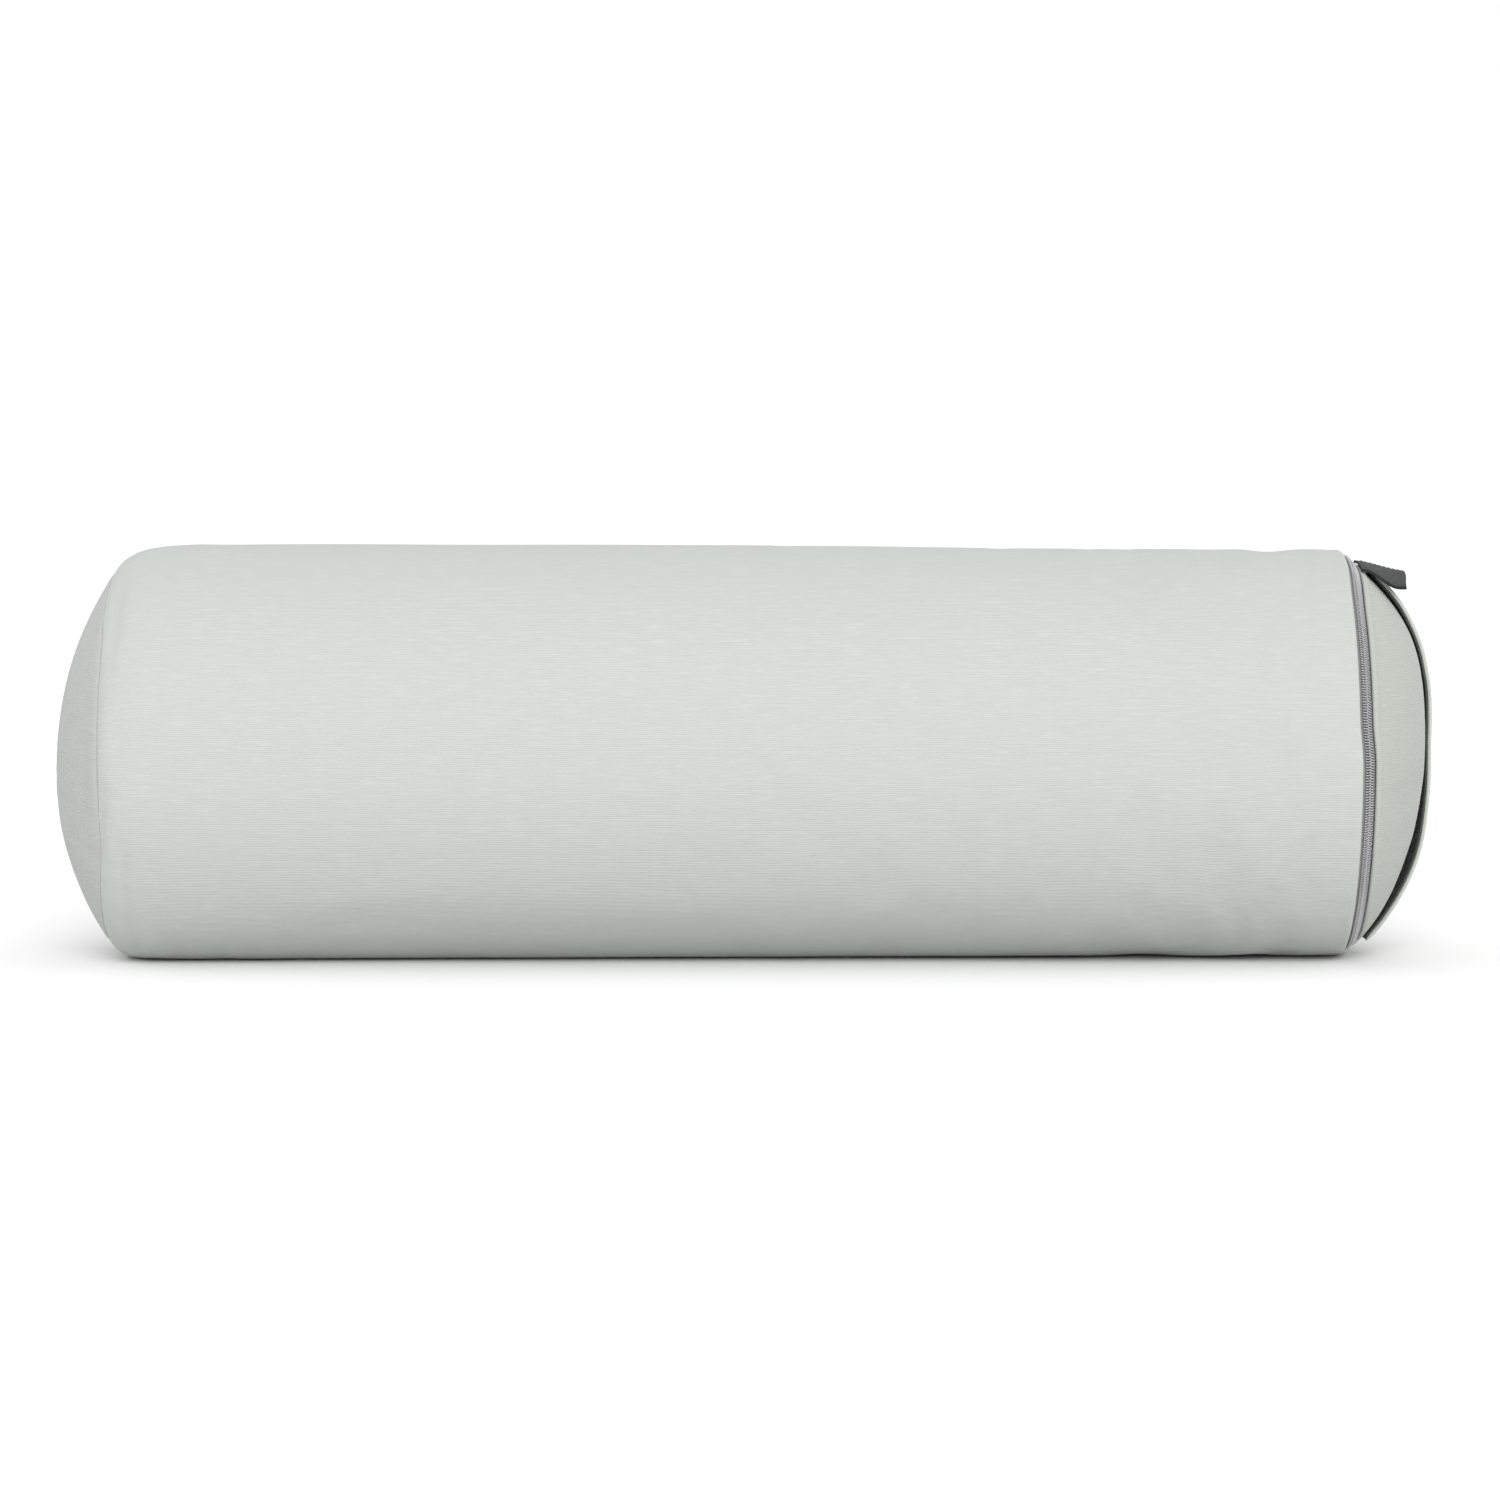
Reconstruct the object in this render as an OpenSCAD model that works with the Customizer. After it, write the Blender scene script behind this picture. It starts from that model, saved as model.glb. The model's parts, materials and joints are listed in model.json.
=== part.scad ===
// Round bolster pillow with a removable zipped cover, a carry handle on the zipped end
// and a stuffed inner pillow. X runs along the bolster, the zipped end is at +X, the
// bolster lies on z = 0, and angles run from the top over the front (-Y) side.

/* [Bolster] */
// Radius of the round body
body_r = 110; // [100:1:120]
// Length over everything, from the plain dome to the handle
overall_len = 723; // [600:1:900]
// Depth of the flat that the bolster rests on
rest_depth = 4; // [3:0.5:5]
// Rounding of the body's shoulders
shoulder_r = 9; // [9:1:12]
// Rise of the plain end's dome
plain_dome_h = 34; // [28:0.5:36]
// How full the plain end's dome is
plain_dome_power = 2.2; // [2.2:0.05:3]
// Rise of the zipped end's dome
zip_dome_h = 34; // [30:0.5:36]
// How full the zipped end's dome is
zip_dome_power = 2.85; // [2.6:0.05:3]

/* [Cover fabric] */
// Thickness of one layer of the cover
cloth_t = 1.2; // [1:0.05:1.3]
// Length of the turned hem behind the shoulder
hem_len = 4; // [2:0.5:8]
// Where the long seam runs, behind and below
long_seam_at = -130; // [-150:1:-100]
// Width of each flap of the long seam
seam_flap = 9; // [6:0.5:12]

/* [Zip] */
// Angle at which the window for the zip starts, behind the top
zip_from = -50; // [-52:1:-48]
// Angle at which the window for the zip ends, low on the front
zip_to = 165; // [162:1:166]
// Width of the tape that shows between the two panels
zip_window = 9.5; // [9.3:0.1:10.5]
// Thickness of the zip's tapes
tape_t = 0.8; // [0.6:0.05:0.9]
// Width of each coil
coil_w = 2.4; // [2:0.1:2.6]
// Height of each coil
coil_h = 1.75; // [1.4:0.05:1.8]
// Gap between the coils that the slider's post runs in
coil_gap = 1.2; // [1:0.1:1.4]
// Angle of the slider at rest
slider_at = -40; // [-41:1:-38]
// Length of the slider along the zip
slider_len = 11; // [10:0.5:12]
// Thickness of the slider's plates
plate_t = 1.2; // [0.9:0.1:1.4]

// Length of the slider's pull from its bar
pull_len = 18; // [14:0.5:20]
// Direction of the pull at rest, over the body, from level
pull_rest = 150; // [140:1:150]

/* [Seam tag] */
// Angle from the top to the middle of the tag
tag_at = 5.5; // [2:0.5:10]
// Angle that the tag covers along the seam
tag_angle = 20; // [14:1:22]
// Length of the folded tag from the seam to its fold
tag_len = 27; // [20:0.5:28]
// Thickness of the folded tag
tag_t = 1.4; // [1:0.1:1.6]
// Droop of the tag at rest, below level
tag_droop = 13; // [8:0.5:14]

/* [Carry handle] */
// Width of the handle
strap_w = 36; // [30:1:38]
// Thickness of the handle's outer layer
strap_face_t = 1.4; // [1:0.1:1.6]
// Thickness of the handle's lining
strap_lining_t = 1.5; // [1:0.1:1.6]
// Height of the handle's upper end over the axis
strap_top = 89; // [86:0.5:89]
// Depth of the handle's lower end below the axis
strap_foot = 96; // [92:0.5:97]
// How far the handle's inside stands off the dome at its middle
strap_stand = 3.1; // [2.8:0.1:5]
// How much further it stands off low down, as the finger gap
finger_gap = 2.8; // [2.6:0.1:4]

/* [Inner pillow] */
// Thickness of the liner's cloth
liner_t = 0.6; // [0.4:0.05:0.7]
// Depth of the liner under the cover's surface
liner_depth = 5.5; // [5.3:0.1:7]

/* [Hidden] */
$fn = 48;

// Height of the bolster's axis over the surface it rests on
axis_z = body_r - rest_depth;
// Gap left between layers that lie on each other
skin = 0.05;
// Clearance around parts that move
clear = 0.3;
// Cosine of the 45 degree slope that the zip lies on
slant = cos(45);
// Depth of a double layer of cloth, and of the tape that lies under it
hem_t = 2 * cloth_t;
tape_top = hem_t + skin;
surf_n = tape_top + tape_t / 2;
// Half of the zip's window, and the straight slope from the shoulder to the zip's middle
half_window = zip_window / 2;
slope_len = half_window + 1.25;

// How far the handle's inside stands off the dome, at height z over the axis
strap_mid = (strap_top - strap_foot) / 2;
strap_half = (strap_top + strap_foot) / 2;
function strap_off(z) =
    let (hug = clear + skin, free = 1 - pow(abs(z - strap_mid) / strap_half, 6))
    hug + (strap_stand - hug) * free + finger_gap * exp(-pow((z + 52) / 24, 2)) * free;
strap_t = strap_face_t + strap_lining_t + skin;

// The zip's middle, and the centre of the shoulder's rounding, along x and out from the axis
shoulder_c_r = body_r - shoulder_r;
zip_r = shoulder_c_r + (shoulder_r - surf_n - slope_len) * slant;
zip_dome_r = zip_r + (surf_n - half_window) * slant;
dome_reach = max([for (z = [-60:60])
    dome_point(0, zip_dome_h, zip_dome_r, zip_dome_power, z, -strap_off(z) - strap_t)[0]]);
zip_dome_x = overall_len / 2 - dome_reach;
zip_x = zip_dome_x - (half_window + surf_n) * slant;

// The plain end's seam
seam_half = 0.4;
plain_dome_r = zip_r + (surf_n - seam_half) * slant;
plain_x = overall_len / 2 - plain_dome_h - (seam_half + surf_n) * slant;

// A point [x, r] near a seam: u runs from the body to the end, d is the depth under the cloth
function seam_point(x0, u, d) =
    [x0 + (u + surf_n - d) * slant, zip_r + (surf_n - d - u) * slant];
// A point on the shoulder's rounding, t degrees round it, at depth d
function shoulder_point(x0, t, d) =
    let (cx = x0 - (shoulder_r - surf_n + slope_len) * slant)
    [cx + (shoulder_r - d) * sin(t), shoulder_c_r + (shoulder_r - d) * cos(t)];
function shoulder(x0, d, a, b) =
    [for (i = [0:5]) shoulder_point(x0, a + (b - a) * i / 5, d)];
// The end of the hem behind the shoulder
function hem_x(x0) = shoulder_point(x0, 0, 0)[0] - hem_len;

// A point [x, r] on a dome of rise h over radius b, at depth d along the normal
function dome_point(x0, h, b, p, r, d) =
    let (
        q = abs(r) / b,
        s = h * p / b * pow(q, p - 1),
        n = sqrt(1 + s * s),
        side = r < 0 ? -1 : 1
    )
    [x0 + h * (1 - pow(q, p)) - d / n, r - side * d * s / n];
function zip_dome(r, d) = dome_point(zip_dome_x, zip_dome_h, zip_dome_r, zip_dome_power, r, d);
function plain_dome(r, d) =
    dome_point(plain_x + (seam_half + surf_n) * slant, plain_dome_h, plain_dome_r,
        plain_dome_power, r, d);
// The radii at which a dome is drawn, from a to b
dome_steps = 14;
function dome_radii(a, b) = [for (i = [0:dome_steps]) a + (b - a) * sin(90 * i / dome_steps)];
// A dome's section closed on the axis: its inside, its outside
function zip_dome_line(a, b, d) = [for (r = dome_radii(a, b)) zip_dome(r, d)];
function plain_dome_line(a, b, d) = [for (r = dome_radii(a, b)) plain_dome(r, d)];
function backward(list) = [for (i = [len(list) - 1:-1:0]) list[i]];
function on_axis(p) = [p[0], max(p[1], 0)];
function close_on_axis(list) = [for (p = list) on_axis(p)];

// ---- Frames and section helpers ----

// Turns a section of [x, r] points round the bolster's axis, between two angles
module turned(points, from = 0, to = 360) {
    section = [for (p = points) [p[1], p[0]]];
    full = to - from >= 360;
    translate([0, 0, axis_z])
        rotate([0, 90, 0])
            if (full) rotate_extrude($fn = 96) polygon(section);
            else rotate_extrude(angle = to - from, start = 180 + from, $fn = 96) polygon(section);
}

// Cuts away what the surface under the bolster, or a layer on it, leaves no room for
module above(z0) {
    big = 2 * overall_len;
    intersection() {
        children();
        translate([-big / 2, -big / 2, z0]) cube([big, big, big]);
    }
}

// The zip's slope as a frame: x across the zip, y out of it, as a section's own points
function zip_section(points) = [for (p = points) seam_point(zip_x, p[0], surf_n - p[1])];

// A thread laid on the inside or outside of the body, along x
module body_thread(at, x_from, x_to, r_from, r_to, width) {
    half = width / (2 * r_to) * 180 / PI;
    turned([[x_from, r_from], [x_to, r_from], [x_to, r_to], [x_from, r_to]],
        at - half, at + half);
}

// Where the slider stands at rest: x along the bolster, z out from the axis
module at_slider_bar() {
    translate([0, 0, axis_z])
        rotate([slider_at, 0, 0])
            translate([bar_point[0], 0, bar_point[1]])
                children();
}

// ---- Sizes of the slider and its pull ----
channel_top = tape_t / 2 + skin + coil_h + clear;
channel_side = coil_gap / 2 + coil_w + clear + skin;
slider_half_w = half_window - clear - skin;
tape_clear = tape_t / 2 + clear + skin;
bar_r = 0.7;
loop_in = bar_r + clear;
loop_out = loop_in + 0.9;
bar_n = channel_top + plate_t + clear + loop_out;
bar_point = seam_point(zip_x, 0, surf_n - bar_n);
loop_w = 4.4;
post_len = 1.1;
slider_half_angle = slider_len / 2 / zip_r * 180 / PI;
bridge_half_angle = (loop_w / 2 + clear + post_len) / bar_point[1] * 180 / PI;
bridge_open_angle = (loop_w / 2 + clear) / bar_point[1] * 180 / PI;

// ---- Angles of the zip's ends and of the plain seam beside it ----
tape_past = 4;
coil_from = slider_at - slider_half_angle - 0.6;
coil_to = zip_to - 5;
stop_angle = 1.4;
plain_from = zip_to + tape_past + 0.5;
plain_to = 360 + zip_from - tape_past - 0.5;

// ---- Cover ----

// The same points on the plain end, at -X
function flip_x(list) = [for (p = list) [-p[0], p[1]]];

// The body filled in to its axis, up to the folded edge at edge_u on the zipped end
module body_solid(edge_u, from, to) {
    plain_fold = seam_point(plain_x, -seam_half, hem_t);
    zip_fold = seam_point(zip_x, edge_u, hem_t);
    turned(concat(
        flip_x([[plain_fold[0], 0], plain_fold, seam_point(plain_x, -seam_half, 0)]),
        flip_x(shoulder(plain_x, 0, 45, 0)),
        shoulder(zip_x, 0, 0, 45),
        [seam_point(zip_x, edge_u, 0), zip_fold, [zip_fold[0], 0]]
    ), from, to);
}

// The hollow of the body's panel: one layer in from the surface, two layers at its hems
module body_hollow(edge_u, from, to) {
    plain_hem = hem_x(plain_x);
    zip_hem = hem_x(zip_x);
    past = 8;
    plain_edge = seam_point(plain_x, -seam_half + past, hem_t);
    zip_edge = seam_point(zip_x, edge_u + past, hem_t);
    turned(concat(
        flip_x([[plain_edge[0], 0], plain_edge]),
        flip_x(shoulder(plain_x, hem_t, 45, 0)),
        flip_x([[plain_hem, body_r - hem_t], [plain_hem, body_r - cloth_t]]),
        [[zip_hem, body_r - cloth_t], [zip_hem, body_r - hem_t]],
        shoulder(zip_x, hem_t, 0, 45),
        [zip_edge, [zip_edge[0], 0]]
    ), from, to);
}

module long_seam_flaps() {
    half = seam_flap / body_r * 180 / PI;
    turned([
        [-hem_x(plain_x) + skin, body_r - hem_t], [hem_x(zip_x) - skin, body_r - hem_t],
        [hem_x(zip_x) - skin, body_r - cloth_t / 2], [-hem_x(plain_x) + skin, body_r - cloth_t / 2]
    ], long_seam_at - half, long_seam_at + half);
}

module cover_body_panel() {
    color("#d2d6d0") {
        difference() {
            above(0) union() {
                body_solid(-half_window, zip_from, zip_to);
                body_solid(-seam_half, zip_to, 360 + zip_from);
            }
            above(cloth_t) union() {
                body_hollow(-half_window, zip_from, zip_to);
                body_hollow(-seam_half, zip_to, 360 + zip_from);
            }
        }
        long_seam_flaps();
    }
}

// The allowance of an end panel, under the body's hem
function allowance(x0) =
    let (top = tape_top, under = tape_top + cloth_t)
    concat(
        [seam_point(x0, seam_half, 0), seam_point(x0, seam_half, top)],
        shoulder(x0, top, 45, 0),
        [[hem_x(x0), body_r - top], [hem_x(x0), body_r - under]],
        shoulder(x0, under, 0, 45),
        [seam_point(x0, seam_half + cloth_t, under)]
    );

module plain_end_panel() {
    color("#cdd1cb")
        above(cloth_t + skin)
            turned(flip_x(close_on_axis(concat(
                plain_dome_line(0, plain_dome_r - 0.5, 0),
                allowance(plain_x),
                backward(plain_dome_line(0, plain_dome_r - 4, cloth_t))
            ))));
}

module zip_end_panel() {
    hem_r = zip_dome_r - 7;
    hidden_r = zip_dome_r - 3.5;
    inside = backward(zip_dome_line(0, hem_r, cloth_t));
    color("#cbcfc8")
        above(cloth_t + skin) {
            turned(close_on_axis(concat(
                zip_dome_line(0, zip_dome_r - 0.5, 0),
                [seam_point(zip_x, half_window, 0), seam_point(zip_x, half_window, hem_t)],
                [zip_dome(hidden_r, hem_t), zip_dome(hem_r, hem_t)],
                inside
            )), zip_from, zip_to);
            turned(close_on_axis(concat(
                zip_dome_line(0, zip_dome_r - 0.5, 0),
                [seam_point(zip_x, half_window, 0), seam_point(zip_x, seam_half, 0)],
                [seam_point(zip_x, seam_half, tape_top - skin)],
                [seam_point(zip_x, half_window, tape_top - skin)],
                [zip_dome(hidden_r, hem_t), zip_dome(hem_r, hem_t)],
                inside
            )), zip_to, 360 + zip_from);
            turned(concat(
                allowance(zip_x),
                [seam_point(zip_x, half_window, tape_top + cloth_t)],
                [seam_point(zip_x, half_window, 1)]
            ), plain_from, plain_to);
        }
}

module body_long_seam_stitching() {
    color("#b9beb8")
        body_thread(long_seam_at, -hem_x(plain_x) + 2, hem_x(zip_x) - 2,
            body_r - hem_t - skin - 0.45, body_r - hem_t - skin, 0.6);
}

// The thread ring at the bottom of a plain seam
function seam_ring(x0) = [
    seam_point(x0, -0.25, 1), seam_point(x0, 0.25, 1),
    seam_point(x0, 0.25, 1.5), seam_point(x0, -0.25, 1.5)
];

module plain_end_seam_stitching() {
    color("#b9beb8")
        turned(flip_x(seam_ring(plain_x)));
}

module zip_end_seam_stitching() {
    color("#b9beb8")
        turned(seam_ring(zip_x), plain_from, plain_to);
}

// A blank woven label, caught in the plain part of the zipped end's seam
module care_label() {
    top = tape_top + cloth_t + skin;
    label_t = 0.4;
    label_at = -74;
    label_end = hem_x(zip_x) - 36;
    color("#f2f2ee")
        turned(concat(
            shoulder(zip_x, top, 40, 0),
            [[label_end, body_r - top], [label_end, body_r - top - label_t]],
            shoulder(zip_x, top + label_t, 0, 40)
        ), label_at - 6, label_at + 6);
}

// ---- Zip ----

module zip_tape_body_side() {
    under = tape_top + tape_t;
    edge = coil_gap / 2;
    color("#a9a9a8")
        above(cloth_t + skin)
            turned(concat(
                [seam_point(zip_x, -edge, tape_top)],
                shoulder(zip_x, tape_top, 45, 0),
                [[hem_x(zip_x), body_r - tape_top], [hem_x(zip_x), body_r - under]],
                shoulder(zip_x, under, 0, 45),
                [seam_point(zip_x, -edge, under)]
            ), zip_from - tape_past, zip_to + tape_past);
}

module zip_tape_end_side() {
    under = tape_top + tape_t;
    edge = coil_gap / 2;
    color("#a9a9a8")
        turned([
            seam_point(zip_x, edge, tape_top), seam_point(zip_x, half_window, tape_top),
            zip_dome(zip_dome_r - 3.5, tape_top), zip_dome(zip_dome_r - 7, tape_top),
            zip_dome(zip_dome_r - 7, under), zip_dome(zip_dome_r - 3.5, under),
            seam_point(zip_x, half_window, under), seam_point(zip_x, edge, under)
        ], zip_from - tape_past, zip_to + tape_past);
}

// A coil's outer section, side is -1 for the body and 1 for the end
function coil_section(side) =
    let (
        low = tape_t / 2 + skin,
        mid = coil_gap / 2 + coil_w / 2,
        rx = coil_w / 2,
        ry = coil_h / 2
    )
    [for (a = [0:30:330])
        [side * (mid + rx * cos(a)), low + ry + ry * sin(a)]];

module zip_coil_body_side() {
    color("#b9b6bb")
        turned(zip_section(coil_section(-1)), coil_from, coil_to);
}

module zip_coil_end_side() {
    color("#b9b6bb")
        turned(zip_section(coil_section(1)), coil_from, coil_to);
}

stitch_h = 0.4;

module zip_stitching_body_side() {
    color("#c6cac4")
        turned([
            shoulder_point(zip_x, 42.5, -skin / 2), shoulder_point(zip_x, 42.5, -stitch_h),
            shoulder_point(zip_x, 40.5, -stitch_h), shoulder_point(zip_x, 40.5, -skin / 2)
        ], zip_from, zip_to);
}

module zip_stitching_end_side() {
    color("#c6cac4")
        turned([
            zip_dome(zip_dome_r - 1.5, -skin / 2), zip_dome(zip_dome_r - 1.5, -stitch_h),
            zip_dome(zip_dome_r - 1.9, -stitch_h), zip_dome(zip_dome_r - 1.9, -skin / 2)
        ], zip_from, zip_to);
}

// A stop's section, from u0 to u1 across the zip
function stop_section(u0, u1) =
    let (low = tape_t / 2 + skin, high = low + coil_h + 0.2)
    zip_section([[u0, low], [u1, low], [u1, high], [u0, high]]);

module zip_top_stops() {
    near = coil_gap / 2;
    far = near + coil_w + 0.2;
    start = coil_from - 0.4 - stop_angle;
    color("#9a989c") {
        turned(stop_section(-far, -near), start, start + stop_angle);
        turned(stop_section(near, far), start, start + stop_angle);
    }
}

module zip_bottom_stop() {
    far = coil_gap / 2 + coil_w + 0.2;
    color("#9a989c")
        turned(stop_section(-far, far), coil_to + 0.3, coil_to + 0.3 + 1.5 * stop_angle);
}

// The slider: two plates joined by a post between the coils, side flanges and a bridge
module zip_slider_body() {
    h = slider_half_angle;
    side = slider_half_w;
    top = channel_top + plate_t;
    color("#8d8f92") {
        turned(zip_section([
            [-side, tape_clear], [-channel_side, tape_clear], [-channel_side, channel_top],
            [channel_side, channel_top], [channel_side, tape_clear], [side, tape_clear],
            [side, top - 0.5], [side - 0.5, top], [-side + 0.5, top], [-side, top - 0.5]
        ]), slider_at - h, slider_at + h);
        turned(zip_section([
            [-side, -tape_clear - plate_t + 0.2], [side, -tape_clear - plate_t + 0.2],
            [side, -tape_clear], [-side, -tape_clear]
        ]), slider_at - h, slider_at + h);
        turned(zip_section([
            [-coil_gap / 2 + clear, -tape_clear - 0.2], [coil_gap / 2 - clear, -tape_clear - 0.2],
            [coil_gap / 2 - clear, channel_top + 0.2], [-coil_gap / 2 + clear, channel_top + 0.2]
        ]), slider_at - h, slider_at - h + 3);
        turned(zip_section([for (a = [0:30:330]) [bar_r * cos(a), bar_n + bar_r * sin(a)]]),
            slider_at - bridge_half_angle, slider_at + bridge_half_angle);
        for (at = [-bridge_half_angle, bridge_open_angle])
            turned(zip_section([
                [-bar_r, top - 0.2], [bar_r, top - 0.2], [bar_r, bar_n], [-bar_r, bar_n]
            ]), slider_at + at, slider_at + at + bridge_half_angle - bridge_open_angle);
    }
}

// The pull: a round eye on the slider's bar and a flat tab with a hole
module zip_pull() {
    tab_w = 6;
    tab_t = 1.2;
    neck = 3.2;
    color("#8d8f92")
        at_slider_bar()
            rotate([90, -pull_rest, 0])
                difference() {
                    union() {
                        cylinder(r = loop_out, h = loop_w, center = true);
                        translate([0, -tab_t / 2, -loop_w / 2]) cube([neck + 0.2, tab_t, loop_w]);
                        translate([neck, -tab_t / 2, -tab_w / 2])
                            cube([pull_len - neck - tab_w / 2, tab_t, tab_w]);
                        translate([pull_len - tab_w / 2, 0, 0])
                            rotate([90, 0, 0]) cylinder(d = tab_w, h = tab_t, center = true);
                    }
                    cylinder(r = loop_in, h = 2 * loop_w, center = true);
                    translate([pull_len - tab_w / 2, 0, 0])
                        rotate([90, 0, 0]) cylinder(d = 2.6, h = 4 * tab_t, center = true);
                }
}

// ---- Seam tag: a folded tag sewn into the seam between the zip and the end panel ----
tag_base = seam_point(zip_x, half_window + 0.55, -clear - skin);

// A point of the tag's section, s along it from the seam and t up through it
function tag_point(s, t) =
    [tag_base[0] + s * cos(tag_droop) + t * sin(tag_droop),
        tag_base[1] - s * sin(tag_droop) + t * cos(tag_droop)];
function tag_box(s0, s1, t0, t1) =
    [tag_point(s0, t0), tag_point(s1, t0), tag_point(s1, t1), tag_point(s0, t1)];

module seam_tag() {
    color("#45464a")
        turned(tag_box(0, tag_len, 0, tag_t), tag_at - tag_angle / 2, tag_at + tag_angle / 2);
}

// The two rows that close the folded tag, one on each face near the seam
module seam_tag_stitching() {
    row = 3;
    inset = 1.5;
    color("#8a8b8e")
        for (t = [-0.35, tag_t + skin / 2])
            turned(tag_box(row, row + 0.5, t, t + 0.35 - skin / 2),
                tag_at - tag_angle / 2 + inset, tag_at + tag_angle / 2 - inset);
}

// ---- Carry handle ----

// The handle's line at offset d over its inside, between two of its steps from top to bottom
strap_steps = 44;
function strap_line(d, a, b) =
    [for (i = [a:b])
        let (z = strap_mid + strap_half * cos(180 * i / strap_steps)) zip_dome(z, -strap_off(z) - d)];

// A band of the handle between two offsets, as wide as w, centred at y
module strap_band(d0, d1, w, y = 0, a = 0, b = strap_steps) {
    translate([0, y + w / 2, axis_z])
        rotate([90, 0, 0])
            linear_extrude(w)
                polygon(concat(strap_line(d0, a, b), backward(strap_line(d1, a, b))));
}

module handle_strap_lining() {
    color("#c2c6bf")
        strap_band(0, strap_lining_t, strap_w);
}

module handle_strap_outer() {
    color("#cfd3cc")
        strap_band(strap_lining_t + skin, strap_t, strap_w);
}

module handle_edge_stitching() {
    inset = 3.5;
    color("#bfc3bd")
        for (side = [-1, 1])
            strap_band(strap_t + skin / 2, strap_t + stitch_h, 0.6, side * (strap_w / 2 - inset),
                5, strap_steps - 5);
}

module handle_tack_top() {
    color("#bfc3bd")
        strap_band(strap_t + skin / 2, strap_t + stitch_h + 0.1, strap_w - 5, 0, 2, 4);
}

module handle_tack_bottom() {
    color("#bfc3bd")
        strap_band(strap_t + skin / 2, strap_t + stitch_h + 0.1, strap_w - 5, 0,
            strap_steps - 4, strap_steps - 2);
}

// ---- Inner pillow ----
liner_half = 0.3;

module liner_body_panel() {
    under = liner_depth + liner_t;
    color("#efece2")
        turned(concat(
            flip_x([seam_point(plain_x, -liner_half, liner_depth)]),
            flip_x(shoulder(plain_x, liner_depth, 45, 0)),
            shoulder(zip_x, liner_depth, 0, 45),
            [seam_point(zip_x, -liner_half, liner_depth), seam_point(zip_x, -liner_half, under)],
            shoulder(zip_x, under, 45, 0),
            flip_x(shoulder(plain_x, under, 0, 45)),
            flip_x([seam_point(plain_x, -liner_half, under)])
        ));
}

// A domed end of the liner, from its line at two depths
function liner_end(x0, outer, inner) =
    close_on_axis(concat(
        outer,
        [seam_point(x0, liner_half, liner_depth), seam_point(x0, liner_half, liner_depth + liner_t)],
        backward(inner)
    ));

module liner_plain_end() {
    r = plain_dome_r - 4;
    color("#efece2")
        turned(flip_x(liner_end(plain_x, plain_dome_line(0, r, liner_depth),
            plain_dome_line(0, r, liner_depth + liner_t))));
}

module liner_zip_end() {
    r = zip_dome_r - 2;
    color("#efece2")
        turned(liner_end(zip_x, zip_dome_line(0, r, liner_depth),
            zip_dome_line(0, r, liner_depth + liner_t)));
}

function liner_ring(x0) =
    let (half = liner_half - 0.08, d = liner_depth + skin)
    [
        seam_point(x0, -half, d), seam_point(x0, half, d),
        seam_point(x0, half, d + 0.5), seam_point(x0, -half, d + 0.5)
    ];

module liner_end_seam_stitching() {
    color("#dedacb") {
        turned(flip_x(liner_ring(plain_x)));
        turned(liner_ring(zip_x));
    }
}

closing_half = 90;
liner_thread_r = body_r - liner_depth + skin / 2;

module liner_long_seam_stitching() {
    color("#dedacb") {
        body_thread(long_seam_at, -hem_x(plain_x), -closing_half - 1,
            liner_thread_r, liner_thread_r + 0.35, 0.5);
        body_thread(long_seam_at, closing_half + 1, hem_x(zip_x),
            liner_thread_r, liner_thread_r + 0.35, 0.5);
    }
}

module liner_closing_stitching() {
    color("#dedacb")
        body_thread(long_seam_at, -closing_half, closing_half,
            liner_thread_r, liner_thread_r + 0.45, 0.9);
}

// The stuffing, one plain solid that fills the liner
module filling() {
    depth = liner_depth + liner_t + clear;
    color("#fafafa")
        turned(close_on_axis(concat(
            flip_x(plain_dome_line(0, plain_dome_r - 4, depth)),
            flip_x(shoulder(plain_x, depth, 45, 0)),
            shoulder(zip_x, depth, 0, 45),
            backward(zip_dome_line(0, zip_dome_r - 2, depth))
        )));
}

cover_body_panel();
plain_end_panel();
zip_end_panel();
body_long_seam_stitching();
plain_end_seam_stitching();
zip_end_seam_stitching();
care_label();
zip_tape_body_side();
zip_tape_end_side();
zip_coil_body_side();
zip_coil_end_side();
zip_stitching_body_side();
zip_stitching_end_side();
zip_top_stops();
zip_bottom_stop();
zip_slider_body();
zip_pull();
seam_tag();
seam_tag_stitching();
handle_strap_outer();
handle_strap_lining();
handle_edge_stitching();
handle_tack_top();
handle_tack_bottom();
liner_body_panel();
liner_plain_end();
liner_zip_end();
liner_end_seam_stitching();
liner_long_seam_stitching();
liner_closing_stitching();
filling();
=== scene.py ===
"""Round bolster pillow with a zipped cover, a seam tag and a carry handle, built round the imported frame."""
import json
import math

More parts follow.
